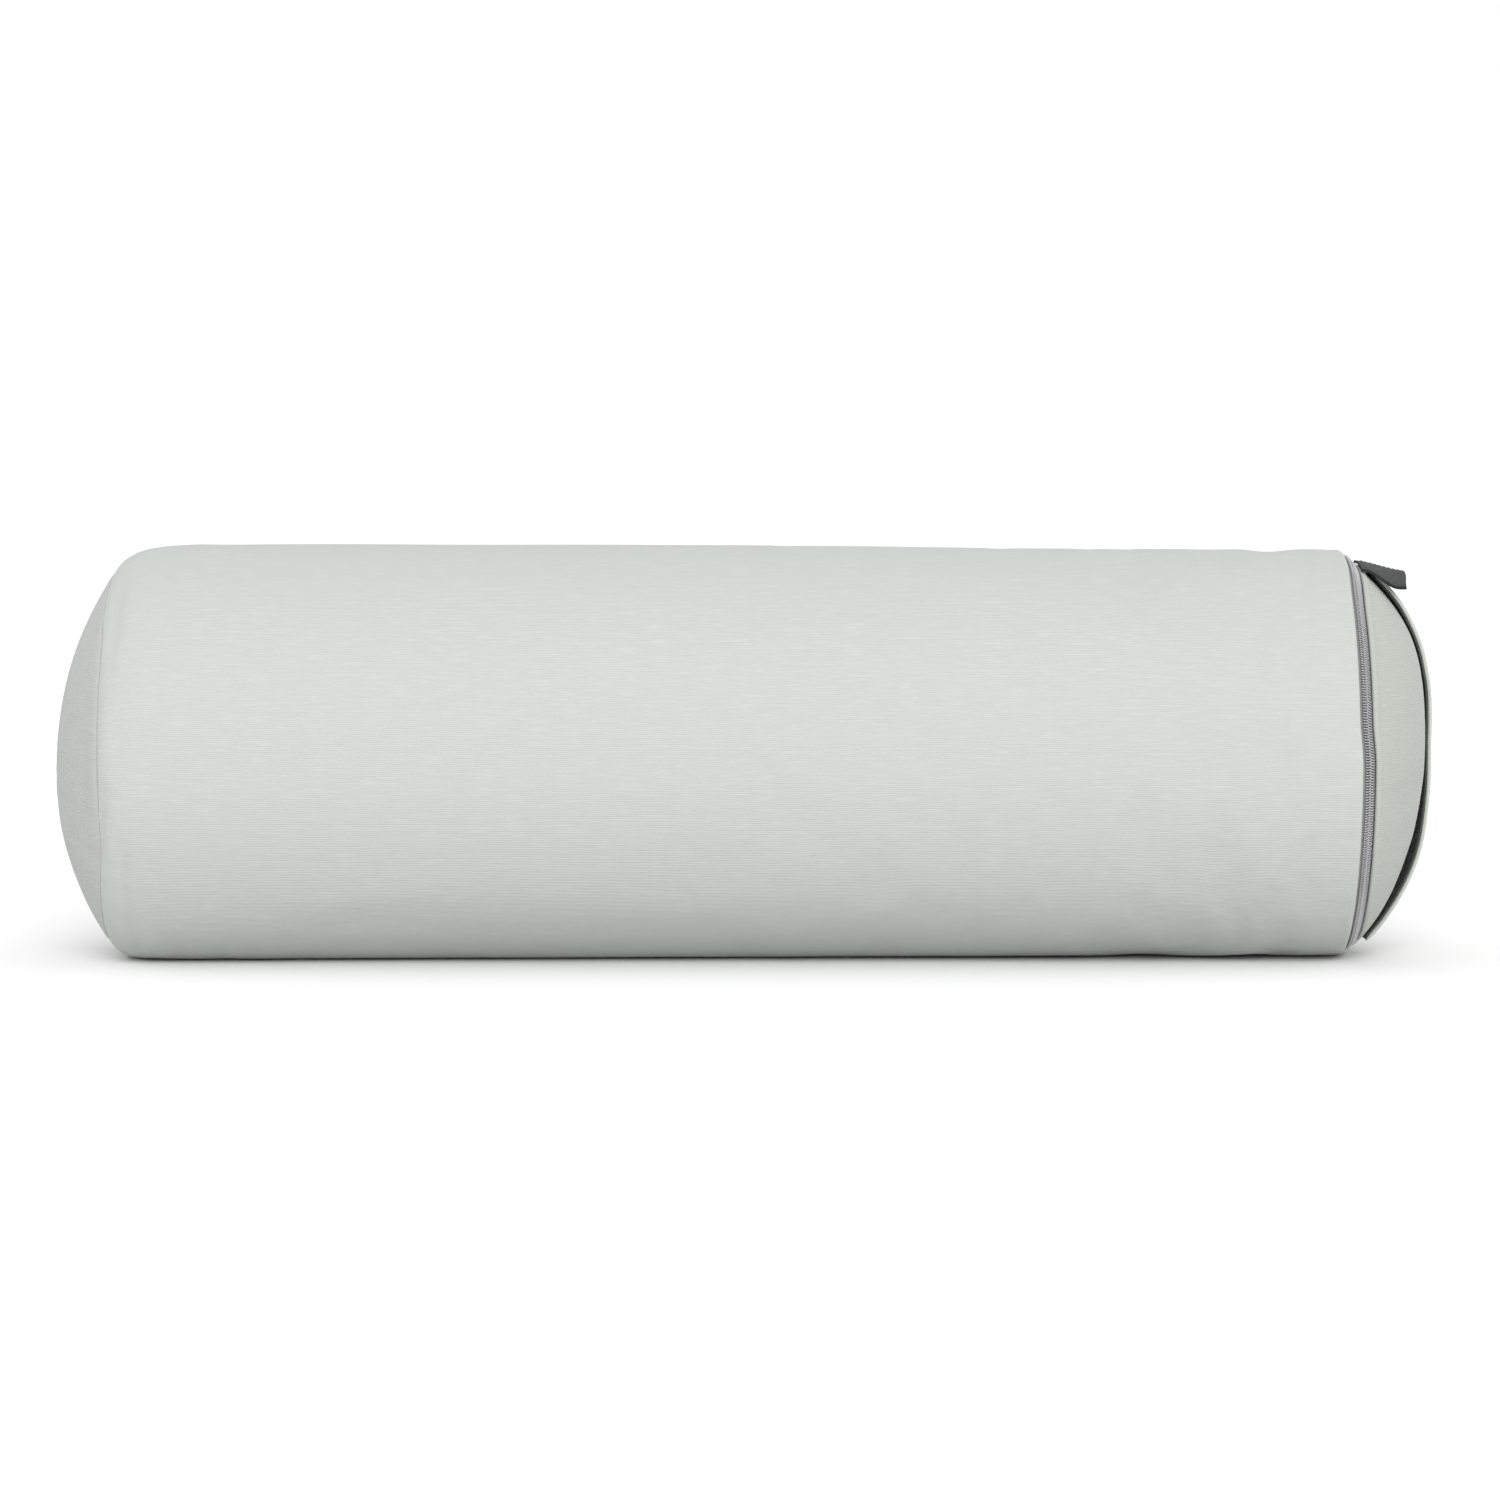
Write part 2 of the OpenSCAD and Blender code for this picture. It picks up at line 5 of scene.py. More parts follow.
import bpy
import numpy as np
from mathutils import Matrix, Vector


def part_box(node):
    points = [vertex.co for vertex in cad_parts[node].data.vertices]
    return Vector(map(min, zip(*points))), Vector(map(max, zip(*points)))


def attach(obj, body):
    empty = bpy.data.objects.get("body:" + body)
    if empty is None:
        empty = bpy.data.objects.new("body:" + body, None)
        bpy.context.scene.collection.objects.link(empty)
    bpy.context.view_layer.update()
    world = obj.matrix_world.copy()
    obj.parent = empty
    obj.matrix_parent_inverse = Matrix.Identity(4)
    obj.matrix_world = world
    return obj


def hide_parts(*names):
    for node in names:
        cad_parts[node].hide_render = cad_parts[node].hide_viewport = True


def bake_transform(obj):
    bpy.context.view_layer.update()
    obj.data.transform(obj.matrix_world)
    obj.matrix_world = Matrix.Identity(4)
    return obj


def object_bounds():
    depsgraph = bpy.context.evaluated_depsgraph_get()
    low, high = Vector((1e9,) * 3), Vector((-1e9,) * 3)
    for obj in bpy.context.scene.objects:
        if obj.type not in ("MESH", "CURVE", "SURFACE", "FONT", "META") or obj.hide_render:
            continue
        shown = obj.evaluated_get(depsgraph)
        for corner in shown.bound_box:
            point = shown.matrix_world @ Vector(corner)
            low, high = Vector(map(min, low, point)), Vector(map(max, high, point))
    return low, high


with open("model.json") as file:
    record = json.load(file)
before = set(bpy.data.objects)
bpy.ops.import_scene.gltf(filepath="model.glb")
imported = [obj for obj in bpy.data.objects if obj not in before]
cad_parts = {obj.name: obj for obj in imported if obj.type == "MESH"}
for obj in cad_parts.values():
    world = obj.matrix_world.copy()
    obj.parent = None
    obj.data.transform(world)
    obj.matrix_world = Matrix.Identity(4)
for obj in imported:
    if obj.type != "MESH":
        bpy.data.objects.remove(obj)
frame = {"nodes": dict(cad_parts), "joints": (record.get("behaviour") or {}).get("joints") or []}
for name in ("Cube", "Light", "Camera"):
    if name in bpy.data.objects:
        bpy.data.objects.remove(bpy.data.objects[name])
cad_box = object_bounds()

# ---- Sizes, in millimetres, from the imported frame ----
JOINTS = {j["name"]: j for j in frame["joints"]}


def box(node):
    lo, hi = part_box(node)
    return np.array(lo) * 1000, np.array(hi) * 1000


# the body's radius, the height of its axis, and the place and radius of the zip
_, body_hi = box("cover_body_panel")
R = body_hi[1]
AX = body_hi[2] - R
ZX = JOINTS["slider_travel"]["pos_m"][0] * 1000
SLANT = math.sqrt(0.5)
coil_tops = [box(n) for n in ("zip_coil_body_side", "zip_coil_end_side")]
# how far the middle of the coils stands on the zip's plane
COIL_MID = 1.325
ZR = sum(hi[2] - AX - (hi[0] - lo[0]) / 2 for lo, hi in coil_tops) / 2 - COIL_MID * SLANT
LEFT = cad_box[0].x * 1000
# how far the cloth beside the zip stands over the zip's plane, and half of the strip left open
SURF_N = 2.85
HALF_WINDOW = 4.75
TAU = 2 * math.pi
# ends of the zip and of its coils, in degrees from the top over the front
ZIP_FROM, ZIP_TO = -50.0, 165.0
COIL_FROM, COIL_TO = -43.7, 160.0


def seam(u, n=SURF_N):
    """A point (x, r) on the slope between the panels: u runs to the end, n stands out of it."""
    return ZX + (u + n) * SLANT, ZR + (n - u) * SLANT


def smooth(t):
    t = np.clip(t, 0, 1)
    return t * t * (3 - 2 * t)


def bump(x, at, width):
    return np.exp(-(((x - at) / width) ** 2))


# ---- The pillow's outline as a profile from the left pole to the right pole ----
DOME_X, DOME_B = seam(HALF_WINDOW)
# height of the right dome and how square its shoulder is, and the radius of the left seam
DOME_H, DOME_P = 34.0, 2.85
SEAM_R = 98.5


def left_dome(r, h=31.0, p=2.3):
    return LEFT + 0.4 + h * (np.abs(r) / SEAM_R) ** p


def right_dome(r):
    return DOME_X + DOME_H * (1 - (np.abs(r) / DOME_B) ** DOME_P)


class Profile:
    """A line of (x, r) points by arc length, with its outward normal."""

    def __init__(self, points, soften=3):
        p = np.array(points, float)
        t = np.concatenate([[0], np.cumsum(np.linalg.norm(np.diff(p, axis=0), axis=1))])
        self.length = t[-1]
        self.s = np.arange(0, self.length, 0.25)
        self.x, self.r = np.interp(self.s, t, p[:, 0]), np.interp(self.s, t, p[:, 1])
        for _ in range(soften):
            for a in (self.x, self.r):
                a[2:-2] = (a[:-4] + a[1:-3] + a[2:-2] + a[3:-1] + a[4:]) / 5
        dx, dr = np.gradient(self.x), np.gradient(self.r)
        n = np.hypot(dx, dr)
        self.nx, self.nr = -dr / n, dx / n

    def at(self, s):
        return [np.interp(s, self.s, a) for a in (self.x, self.r, self.nx, self.nr)]

    def where(self, x=None, r=None):
        """The arc length where the line reaches x, or radius r on its left dome."""
        if x is not None:
            return float(np.interp(x, self.x, self.s))
        half = len(self.s) // 2
        return float(np.interp(r, self.r[:half], self.s[:half]))


def outline(depth=0.0):
    """The outline at a depth under the surface, from pole to pole."""
    left = [(left_dome(r) + depth, r) for r in np.linspace(0.0, SEAM_R - depth * 0.6, 60)]
    shoulder = [(36.7, 5.1), (42.5, 8.1), (48.5, 9.8), (58.5, 10.9), (74.5, 11.5)]
    body = [(LEFT + dx + depth * 0.55, SEAM_R + dr - depth * 0.9) for dx, dr in shoulder]
    long = [(-200, 110.2), (-60, 109.6), (80, 108.6), (200, 107.5), (285, 107.1)]
    body += [(x, r - depth) for x, r in long]
    edge = seam(-HALF_WINDOW, SURF_N - depth)
    body += [(edge[0] - 10 - depth * 0.4, 107.0 - depth), (edge[0] - 0.8 - depth * 0.3, edge[1] + 0.25)]
    rim = seam(HALF_WINDOW, SURF_N - depth)
    right = [(right_dome(r) - depth, min(r, rim[1])) for r in np.linspace(DOME_B - 1 - depth * 0.7, 0, 60)]
    return left + body + [edge, rim] + right


OUT = Profile(outline(), soften=2)
S_SEAM = OUT.where(r=SEAM_R)
S_ZIP = OUT.where(x=seam(-HALF_WINDOW)[0]) + HALF_WINDOW
S_RIM = S_ZIP + HALF_WINDOW
# the body cloth stops a little further back from the zip than the end cloth does
BODY_GAP = HALF_WINDOW + 1.9
S_EDGE = S_ZIP - BODY_GAP
STATIONS = [0, S_SEAM, S_EDGE, OUT.length]

# ---- How the cloth departs from that outline ----
SIM = {"s": None, "d": None}


def wobble(th, freqs, seed):
    """A sum of rounded ripples round the bolster, the same on every run."""
    g = np.random.default_rng(seed)
    total = 0
    for f in freqs:
        total = total + g.uniform(0.5, 1) * np.sin(f * th + g.uniform(0, TAU))
    return total / len(freqs)


def crease(s, th, s0, s1, a0, a1, width, depth):
    """A soft valley between two places on the surface, given by arc length and angle."""
    th_deg = np.degrees(th)
    t = np.clip((th_deg - a0) / (a1 - a0), 0, 1)
    line = s0 + (s1 - s0) * t
    ends = smooth((th_deg - a0 + 9) / 14) * smooth((a1 + 9 - th_deg) / 14)
    return -depth * bump(s, line, width) * ends


# from and to past the left seam, from and to in degrees, width, depth
LEFT_FOLDS = [
    (16, 19, 112, 152, 2.6, 1.5),
    (6, -3, 96, 122, 5.0, 1.7),
    (-14, -22, 92, 118, 6.0, 1.3),
    (11, 8, 28, 60, 6.0, 0.8),
    (24, 20, -95, -40, 5.0, 1.0),
    (-18, -12, -110, -50, 6.0, 1.2),
]


def simulated(s, th):
    """The ripples that the simulation left, read between its rows and columns."""
    d = SIM["d"]
    cols = d.shape[1]
    j = (th / TAU % 1.0) * cols
    j0 = np.floor(j).astype(int) % cols
    f = j - np.floor(j)
    i = np.interp(s, SIM["s"], np.arange(len(SIM["s"])))
    i0 = np.clip(np.floor(i).astype(int), 0, len(SIM["s"]) - 2)
    g = i - i0
    a = d[i0, j0] * (1 - f) + d[i0, (j0 + 1) % cols] * f
    b = d[i0 + 1, j0] * (1 - f) + d[i0 + 1, (j0 + 1) % cols] * f
    return a * (1 - g) + b * g


def offset(s, th):
    """How far the cloth stands out of its outline at arc length s and angle th."""
    th = (th + math.pi) % TAU - math.pi
    n = 0.0 * s * th
    near_left, near_right = np.abs(s - S_SEAM), np.abs(S_EDGE - s)
    inner = smooth((s - 30) / 60) * smooth((OUT.length - s - 30) / 60)
    away = smooth((S_EDGE - s) / 40)
    mid = smooth((s - S_SEAM) / 60) * away
    # broad lumps of the stuffing
    n = n + 0.7 * mid * np.sin(s / 61 + 1.3 * np.sin(th + 0.4)) * wobble(th, (1, 2, 3), 4)
    n = n + 0.35 * mid * np.sin(s / 23 + 2 * np.sin(2 * th + 1.0)) * wobble(th, (2, 4, 5), 9)
    # puckers along both seams
    at_left = np.exp(-near_left / 13) * smooth(near_left / 3) * inner
    at_right = np.exp(-near_right / 11) * smooth(near_right / 4) * (s < S_EDGE)
    n = n + 0.55 * wobble(th, (23, 31, 38, 47), 3) * at_left
    n = n + 0.4 * wobble(th, (26, 35, 44), 8) * at_right
    # the left end's loose folds
    for start, end, a0, a1, width, deep in LEFT_FOLDS:
        n = n + crease(s, th, S_SEAM + start, S_SEAM + end, a0, a1, width, deep)
    # the heavy left end spreads where it rests
    spread = smooth((330 - s) / 260) * smooth((s - 60) / 60)
    n = n + 3.2 * bump(np.abs(th), math.radians(149), 0.4) * spread
    # the fuller upper half of the zipped end
    dome = smooth((s - S_RIM - 6) / 45) * smooth((OUT.length - s) / 60)
    n = n + 1.6 * dome * (np.cos(th) + 0.1)
    if SIM["d"] is not None:
        n = n + simulated(s, th)
    return n


def settle(z, floor):
    """Rests what would be under the floor on it, with a soft edge."""
    t = (z - floor) / 1.2
    return floor + 1.2 * np.where(t > 30, t, np.log1p(np.exp(np.clip(t, -40, 30))))


def surface(s, th, depth=0.0, line=OUT):
    """The point at arc length s and angle th (radians from the top over the front), under the cloth."""
    s, th, depth = np.broadcast_arrays(np.asarray(s, float), np.asarray(th, float), np.asarray(depth, float))
    x, r, nx, nr = line.at(s)
    if line is OUT:
        so = s
    else:
        so = np.interp(s, [0, line.seam, line.edge, line.length], STATIONS)
    n = offset(so, th)
    x = x + nx * (n - depth)
    r = r + nr * (n - depth)
    turned = np.degrees((th + math.pi) % TAU - math.pi)
    # the zip leans back over the upper front
    lean = smooth((so - S_EDGE + 60) / 55) * smooth((S_RIM + 60 - so) / 55)
    x = x - 1.4 * lean * smooth((90 - turned) / 14) * smooth((turned - 15) / 25)
    # the left dome hangs low and the right one rides high
    sag = -9 * smooth((S_SEAM + 45 - so) / (S_SEAM + 45)) + 4 * smooth((so - S_RIM) / 70)
    z = settle(AX + r * np.cos(th) + sag, np.maximum(depth, 0) + 0.02)
    return np.stack([x, -r * np.sin(th), z], axis=-1)


# ---- Mesh helpers ----
def finish_mesh(name, verts, faces, uvs=None):
    mesh = bpy.data.meshes.new(name)
    mesh.from_pydata((np.asarray(verts, float) / 1000).tolist(), [], faces)
    if uvs is not None:
        layer = mesh.uv_layers.new(name="uv")
        layer.data.foreach_set("uv", np.asarray(uvs, np.float32).ravel())
    mesh.validate()
    mesh.polygons.foreach_set("use_smooth", [True] * len(mesh.polygons))
    mesh.update()
    obj = bpy.data.objects.new(name, mesh)
    bpy.context.scene.collection.objects.link(obj)
    return obj


def grid(name, p, uv, wrap=False, flip=False, cap=()):
    """A quad mesh over rows and columns of points; uv is in metres, one column wider if it wraps."""
    rows, cols = p.shape[:2]
    verts = p.reshape(-1, 3)
    faces, loops = [], []
    last = cols if wrap else cols - 1
    for i in range(rows - 1):
        for j in range(last):
            k = (j + 1) % cols
            corners = [(i, j, j), (i, k, j + 1), (i + 1, k, j + 1), (i + 1, j, j)]
            if flip:
                corners.reverse()
            faces.append([a * cols + b for a, b, _ in corners])
            loops += [uv[a, c] for a, _, c in corners]
    for row, reverse in cap:
        order = list(range(cols))
        if reverse:
            order.reverse()
        faces.append([row % rows * cols + j for j in order])
        loops += [uv[row % rows, j] for j in order]
    return finish_mesh(name, verts, faces, loops)


def thicken(obj, thickness, offset_side=-1.0):
    m = obj.modifiers.new("thick", "SOLIDIFY")
    m.thickness = thickness / 1000
    m.offset = offset_side
    m.use_even_offset = False
    return obj


def apply_modifiers(obj):
    """Turns the evaluated mesh into the object's own."""
    dg = bpy.context.evaluated_depsgraph_get()
    mesh = bpy.data.meshes.new_from_object(obj.evaluated_get(dg))
    obj.modifiers.clear()
    obj.data = mesh
    return obj


def strands(name, paths, radius, sides=6, fat=None):
    """Round strands along several lines of points as one mesh; fat swells each line along its length."""
    verts, faces, loops = [], [], []
    ring = np.linspace(0, TAU, sides, endpoint=False)
    for path in paths:
        path = np.asarray(path, float)
        n = len(path)
        tan = np.gradient(path, axis=0)
        tan /= np.linalg.norm(tan, axis=1)[:, None] + 1e-12
        up = np.tile([0.0, 0.0, 1.0], (n, 1))
        side = np.cross(tan, up)
        weak = np.linalg.norm(side, axis=1) < 0.2
        side[weak] = np.cross(tan[weak], [1.0, 0.0, 0.0])
        side /= np.linalg.norm(side, axis=1)[:, None]
        for i in range(1, n):
            v = side[i - 1] - tan[i] * (side[i - 1] @ tan[i])
            side[i] = v / (np.linalg.norm(v) + 1e-12)
        other = np.cross(tan, side)
        rad = np.full(n, radius) if fat is None else radius * fat(np.linspace(0, 1, n))
        base = len(verts)
        pts = path[:, None] + rad[:, None, None] * (
            np.cos(ring)[None, :, None] * side[:, None] + np.sin(ring)[None, :, None] * other[:, None])
        verts += pts.reshape(-1, 3).tolist()
        along = np.concatenate([[0], np.cumsum(np.linalg.norm(np.diff(path, axis=0), axis=1))]) / 1000
        for i in range(n - 1):
            for j in range(sides):
                k = (j + 1) % sides
                faces.append([base + i * sides + j, base + (i + 1) * sides + j,
                              base + (i + 1) * sides + k, base + i * sides + k])
                a, b = j / sides, (j + 1) / sides
                loops += [(along[i], a * 0.002), (along[i + 1], a * 0.002),
                          (along[i + 1], b * 0.002), (along[i], b * 0.002)]
        faces.append([base + j for j in range(sides)])
        loops += [(along[0], 0)] * sides
        faces.append([base + (n - 1) * sides + j for j in reversed(range(sides))])
        loops += [(along[-1], 0)] * sides
    return finish_mesh(name, verts, faces, loops)


def stitch_paths(line, pitch, share, sink, out):
    """Cuts a line of points, with its outward directions, into single stitches."""
    line = np.asarray(line, float)
    along = np.concatenate([[0], np.cumsum(np.linalg.norm(np.diff(line, axis=0), axis=1))])
    count = max(1, int(along[-1] // pitch))
    step = along[-1] / count
    paths = []
    t = np.linspace(0, 1, 6)
    for i in range(count):
        at = (i + 0.5 - share / 2) * step + t * share * step
        p = np.stack([np.interp(at, along, line[:, k]) for k in range(3)], axis=1)
        o = np.stack([np.interp(at, along, out[:, k]) for k in range(3)], axis=1)
        paths.append(p + o * (np.sin(t * math.pi) * sink - sink * 0.6)[:, None])
    return paths


def plump(t):
    return 0.62 + 0.38 * np.sin(np.clip(t, 0.03, 0.97) * math.pi)


def outward(th):
    return np.stack([0 * th, -np.sin(th), np.cos(th)], axis=-1)


# ---- The pillow's shape under pressure: the outline is blown up as cloth, held at its two seams ----
SIM_FRAMES = 20
# the share of the ripples that is kept, so that the cloth stays calm
RIPPLES = 0.35


def simulate():
    cols = 150
    s = np.concatenate([np.linspace(4, S_SEAM, 26), np.linspace(S_SEAM, S_EDGE, 128)[1:],
                        np.linspace(S_EDGE, OUT.length - 4, 28)[1:]])
    th = np.linspace(0, TAU, cols, endpoint=False)
    base = surface(s[:, None], th[None, :], 1.5)
    _, _, nx, nr = OUT.at(s)
    uv = np.zeros((len(s), cols + 1, 2))
    obj = grid("blown_form", base, uv, wrap=True, cap=((0, True), (-1, False)))
    group = obj.vertex_groups.new(name="held")
    rows = [i for i, v in enumerate(s) if abs(v - S_SEAM) < 0.5 or S_EDGE - 0.5 <= v <= S_RIM + 0.5]
    group.add([i * cols + j for i in rows for j in range(cols)], 1.0, "REPLACE")
    mod = obj.modifiers.new("cloth", "CLOTH")
    c = mod.settings
    c.quality = 5
    c.mass = 0.25
    c.tension_stiffness = c.compression_stiffness = 20
    c.shear_stiffness = 8
    c.bending_stiffness = 1.5
    c.use_pressure = True
    c.uniform_pressure_force = 4
    c.shrink_min = -0.012
    c.vertex_group_mass = "held"
    c.effector_weights.gravity = 0
    scene = bpy.context.scene
    scene.frame_start, scene.frame_end = 1, SIM_FRAMES
    mod.point_cache.frame_start, mod.point_cache.frame_end = 1, SIM_FRAMES
    for f in range(1, SIM_FRAMES + 1):
        scene.frame_set(f)
    dg = bpy.context.evaluated_depsgraph_get()
    mesh = obj.evaluated_get(dg).to_mesh()
    co = np.zeros(len(mesh.vertices) * 3, np.float32)
    mesh.vertices.foreach_get("co", co)
    obj.evaluated_get(dg).to_mesh_clear()
    bpy.data.objects.remove(obj)
    scene.frame_set(1)
    moved = co.reshape(len(s), cols, 3).astype(float) * 1000 - base
    normal = np.stack([np.broadcast_to(nx[:, None], base.shape[:2]),
                       -nr[:, None] * np.sin(th), nr[:, None] * np.cos(th)], axis=-1)
    d = (moved * normal).sum(-1)
    # the mean swell goes, since the outline already has it: what stays is the ripples
    calm = d.copy()
    for _ in range(14):
        calm[1:-1] = (calm[:-2] + calm[1:-1] + calm[2:]) / 3
        calm = (np.roll(calm, 1, 1) + calm + np.roll(calm, -1, 1)) / 3
    d = 0.25 * (calm - calm.mean(1)[:, None]) + (d - calm)
    hold = smooth(np.abs(s - S_SEAM) / 12) * smooth((S_EDGE - s) / 10) + smooth((s - S_RIM) / 12)
    return s, RIPPLES * np.clip(d, -2.5, 2.5) * hold[:, None]


SIM["s"], SIM["d"] = simulate()


# ---- Materials ----
class Shader:
    """A material's node tree, with short ways to add to it."""

    def __init__(self, name, rough=0.8, **sockets):
        self.material = bpy.data.materials.new(name)
        self.material.use_nodes = True
        self.nodes, self.links = self.material.node_tree.nodes, self.material.node_tree.links
        self.surface = self.nodes["Principled BSDF"]
        self.surface.inputs["Roughness"].default_value = rough
        for key, value in sockets.items():
            self.surface.inputs[key.replace("_", " ")].default_value = value
        coords = self.nodes.new("ShaderNodeTexCoord")
        self.uv, self.place = coords.outputs["UV"], coords.outputs["Object"]

    def calc(self, op, a, b=None, c=None):
        node = self.nodes.new("ShaderNodeMath")
        node.operation = op
        for i, v in enumerate((a, b, c)):
            if isinstance(v, (int, float)):
                node.inputs[i].default_value = v
            elif v is not None:
                self.links.new(v, node.inputs[i])
        return node.outputs[0]

    def wave(self, phase):
        """A sine of the phase, from 0 to 1."""
        return self.calc("MULTIPLY_ADD", self.calc("SINE", phase), 0.5, 0.5)

    def noise(self, vector, scale, detail=2.0):
        node = self.nodes.new("ShaderNodeTexNoise")
        node.inputs["Scale"].default_value = scale
        node.inputs["Detail"].default_value = detail
        self.links.new(vector, node.inputs["Vector"])
        return node.outputs["Fac"]

    def blend(self, fac, a, b):
        node = self.nodes.new("ShaderNodeMix")
        node.data_type = "RGBA"
        self.links.new(fac, node.inputs["Factor"])
        for key, v in (("A", a), ("B", b)):
            socket = [x for x in node.inputs if x.name == key and x.type == "RGBA"][0]
            if isinstance(v, tuple):
                socket.default_value = (*v, 1)
            else:
                self.links.new(v, socket)
        return [x for x in node.outputs if x.type == "RGBA"][0]

    def relief(self, height, depth):
        node = self.nodes.new("ShaderNodeBump")
        node.inputs["Strength"].default_value = 1.0
        node.inputs["Distance"].default_value = depth
        self.links.new(height, node.inputs["Height"])
        self.links.new(node.outputs["Normal"], self.surface.inputs["Normal"])

    def tint(self, color):
        self.links.new(color, self.surface.inputs["Base Color"])

    def stretched(self, vector, sx, sy, sz):
        node = self.nodes.new("ShaderNodeVectorMath")
        node.operation = "MULTIPLY"
        self.links.new(vector, node.inputs[0])
        node.inputs[1].default_value = (sx, sy, sz)
        return node.outputs[0]

    def split(self, vector):
        node = self.nodes.new("ShaderNodeSeparateXYZ")
        self.links.new(vector, node.inputs[0])
        return node.outputs[0], node.outputs[1]


def dim(color, f):
    return tuple(c * f for c in color)


def cover_cloth(name, color, ribs=1000.0, depth=0.00022):
    """Matt upholstery cloth with fine ribs along the uv's first axis and uneven yarns."""
    m = Shader(name, 0.86, Sheen_Weight=0.12, Sheen_Roughness=0.5, Specular_IOR_Level=0.22)
    along, across = m.split(m.uv)
    wander = m.noise(m.stretched(m.uv, 22, 90, 1), 1.0, 1.0)
    rib = m.wave(m.calc("ADD", m.calc("MULTIPLY", across, ribs * TAU), m.calc("MULTIPLY", wander, 1.6)))
    picks = m.wave(m.calc("MULTIPLY", along, 1700 * TAU))
    slub = m.noise(m.stretched(m.uv, 70, 950, 1), 1.0, 2.0)
    cloud = m.noise(m.place, 7.0, 3.0)
    fuzz = m.noise(m.place, 2600.0, 2.0)
    yarns = m.calc("ADD", m.calc("MULTIPLY", picks, 0.14), m.calc("MULTIPLY", slub, 0.5))
    height = m.calc("ADD", m.calc("MULTIPLY", rib, 0.62), yarns)
    m.relief(m.calc("ADD", height, m.calc("MULTIPLY", fuzz, 0.12)), depth)
    shade = m.blend(rib, dim(color, 0.9), dim(color, 1.03))
    bright = m.calc("MULTIPLY", m.calc("SUBTRACT", slub, 0.5), 2.2)
    lit = m.blend(m.calc("SMOOTH_MIN", bright, 1.0, 0.1), shade, dim(color, 1.12))
    worn = (color[0] * 0.955, color[1] * 0.975, color[2] * 0.965)
    m.tint(m.blend(m.calc("MULTIPLY_ADD", cloud, 0.5, -0.05), lit, worn))
    return m.material


def woven(name, color, along, across, depth, rough=0.85, herring=False, contrast=0.16):
    """A plain or herringbone weave; along and across are its yarns per metre of uv."""
    m = Shader(name, rough, Sheen_Weight=0.08, Specular_IOR_Level=0.25)
    a, b = m.split(m.uv)
    if herring:
        a = m.calc("ADD", a, m.calc("PINGPONG", b, 0.0016))
    warp = m.wave(m.calc("MULTIPLY", a, along * TAU))
    weft = m.wave(m.calc("MULTIPLY", b, across * TAU))
    if herring:
        cross = m.calc("MULTIPLY_ADD", weft, 0.35, warp)
    else:
        cross = m.calc("MAXIMUM", warp, weft)
    fuzz = m.noise(m.place, 1800.0, 2.0)
    m.relief(m.calc("MULTIPLY_ADD", fuzz, 0.25, cross), depth)
    shade = m.blend(cross, dim(color, 1 - contrast), dim(color, 1 + contrast * 0.6))
    patches = m.calc("MULTIPLY", m.noise(m.place, 60.0, 3.0), 0.35)
    m.tint(m.blend(patches, shade, dim(color, 0.86)))
    return m.material


def yarn(name, color):
    """Twisted thread: fine slanting plies along the uv's first axis."""
    m = Shader(name, 0.7, Sheen_Weight=0.1)
    along, across = m.split(m.uv)
    slant = m.calc("ADD", m.calc("MULTIPLY", along, 2400 * TAU), m.calc("MULTIPLY", across, 500 * TAU))
    ply = m.wave(slant)
    m.relief(ply, 0.00008)
    m.tint(m.blend(ply, dim(color, 0.85), dim(color, 1.05)))
    return m.material


def nylon(name, color):
    """Slightly glossy moulded nylon, with small changes of tone and wear."""
    m = Shader(name, 0.38, Specular_IOR_Level=0.5)
    grain = m.noise(m.place, 900.0, 3.0)
    tone = m.noise(m.place, 120.0, 2.0)
    m.relief(grain, 0.00002)
    m.tint(m.blend(tone, dim(color, 0.9), dim(color, 1.08)))
    return m.material


def enamel(name, color):
    """Enamelled zinc, with rubbed brighter spots and fine scratches."""
    m = Shader(name, Metallic=0.85, Coat_Weight=0.25, Coat_Roughness=0.2)
    scratch = m.noise(m.stretched(m.place, 3500, 300, 900), 1.0, 3.0)
    wear = m.noise(m.place, 420.0, 4.0)
    m.relief(m.calc("MULTIPLY_ADD", scratch, 0.5, wear), 0.000025)
    m.tint(m.blend(m.calc("GREATER_THAN", wear, 0.62), color, dim(color, 1.5)))
    m.links.new(m.calc("MULTIPLY_ADD", scratch, 0.25, 0.26), m.surface.inputs["Roughness"])
    return m.material


def fibre(name, color):
    """Carded polyester wadding: a mass of fine crossing fibres."""
    m = Shader(name, 0.9, Sheen_Weight=0.3, Subsurface_Weight=0.1)
    a = m.noise(m.stretched(m.place, 60, 900, 700), 1.0, 5.0)
    b = m.noise(m.stretched(m.place, 500, 120, 160), 1.0, 5.0)
    m.relief(m.calc("ADD", a, b), 0.0012)
    m.tint(m.blend(m.calc("MULTIPLY", a, b), dim(color, 0.82), color))
    return m.material


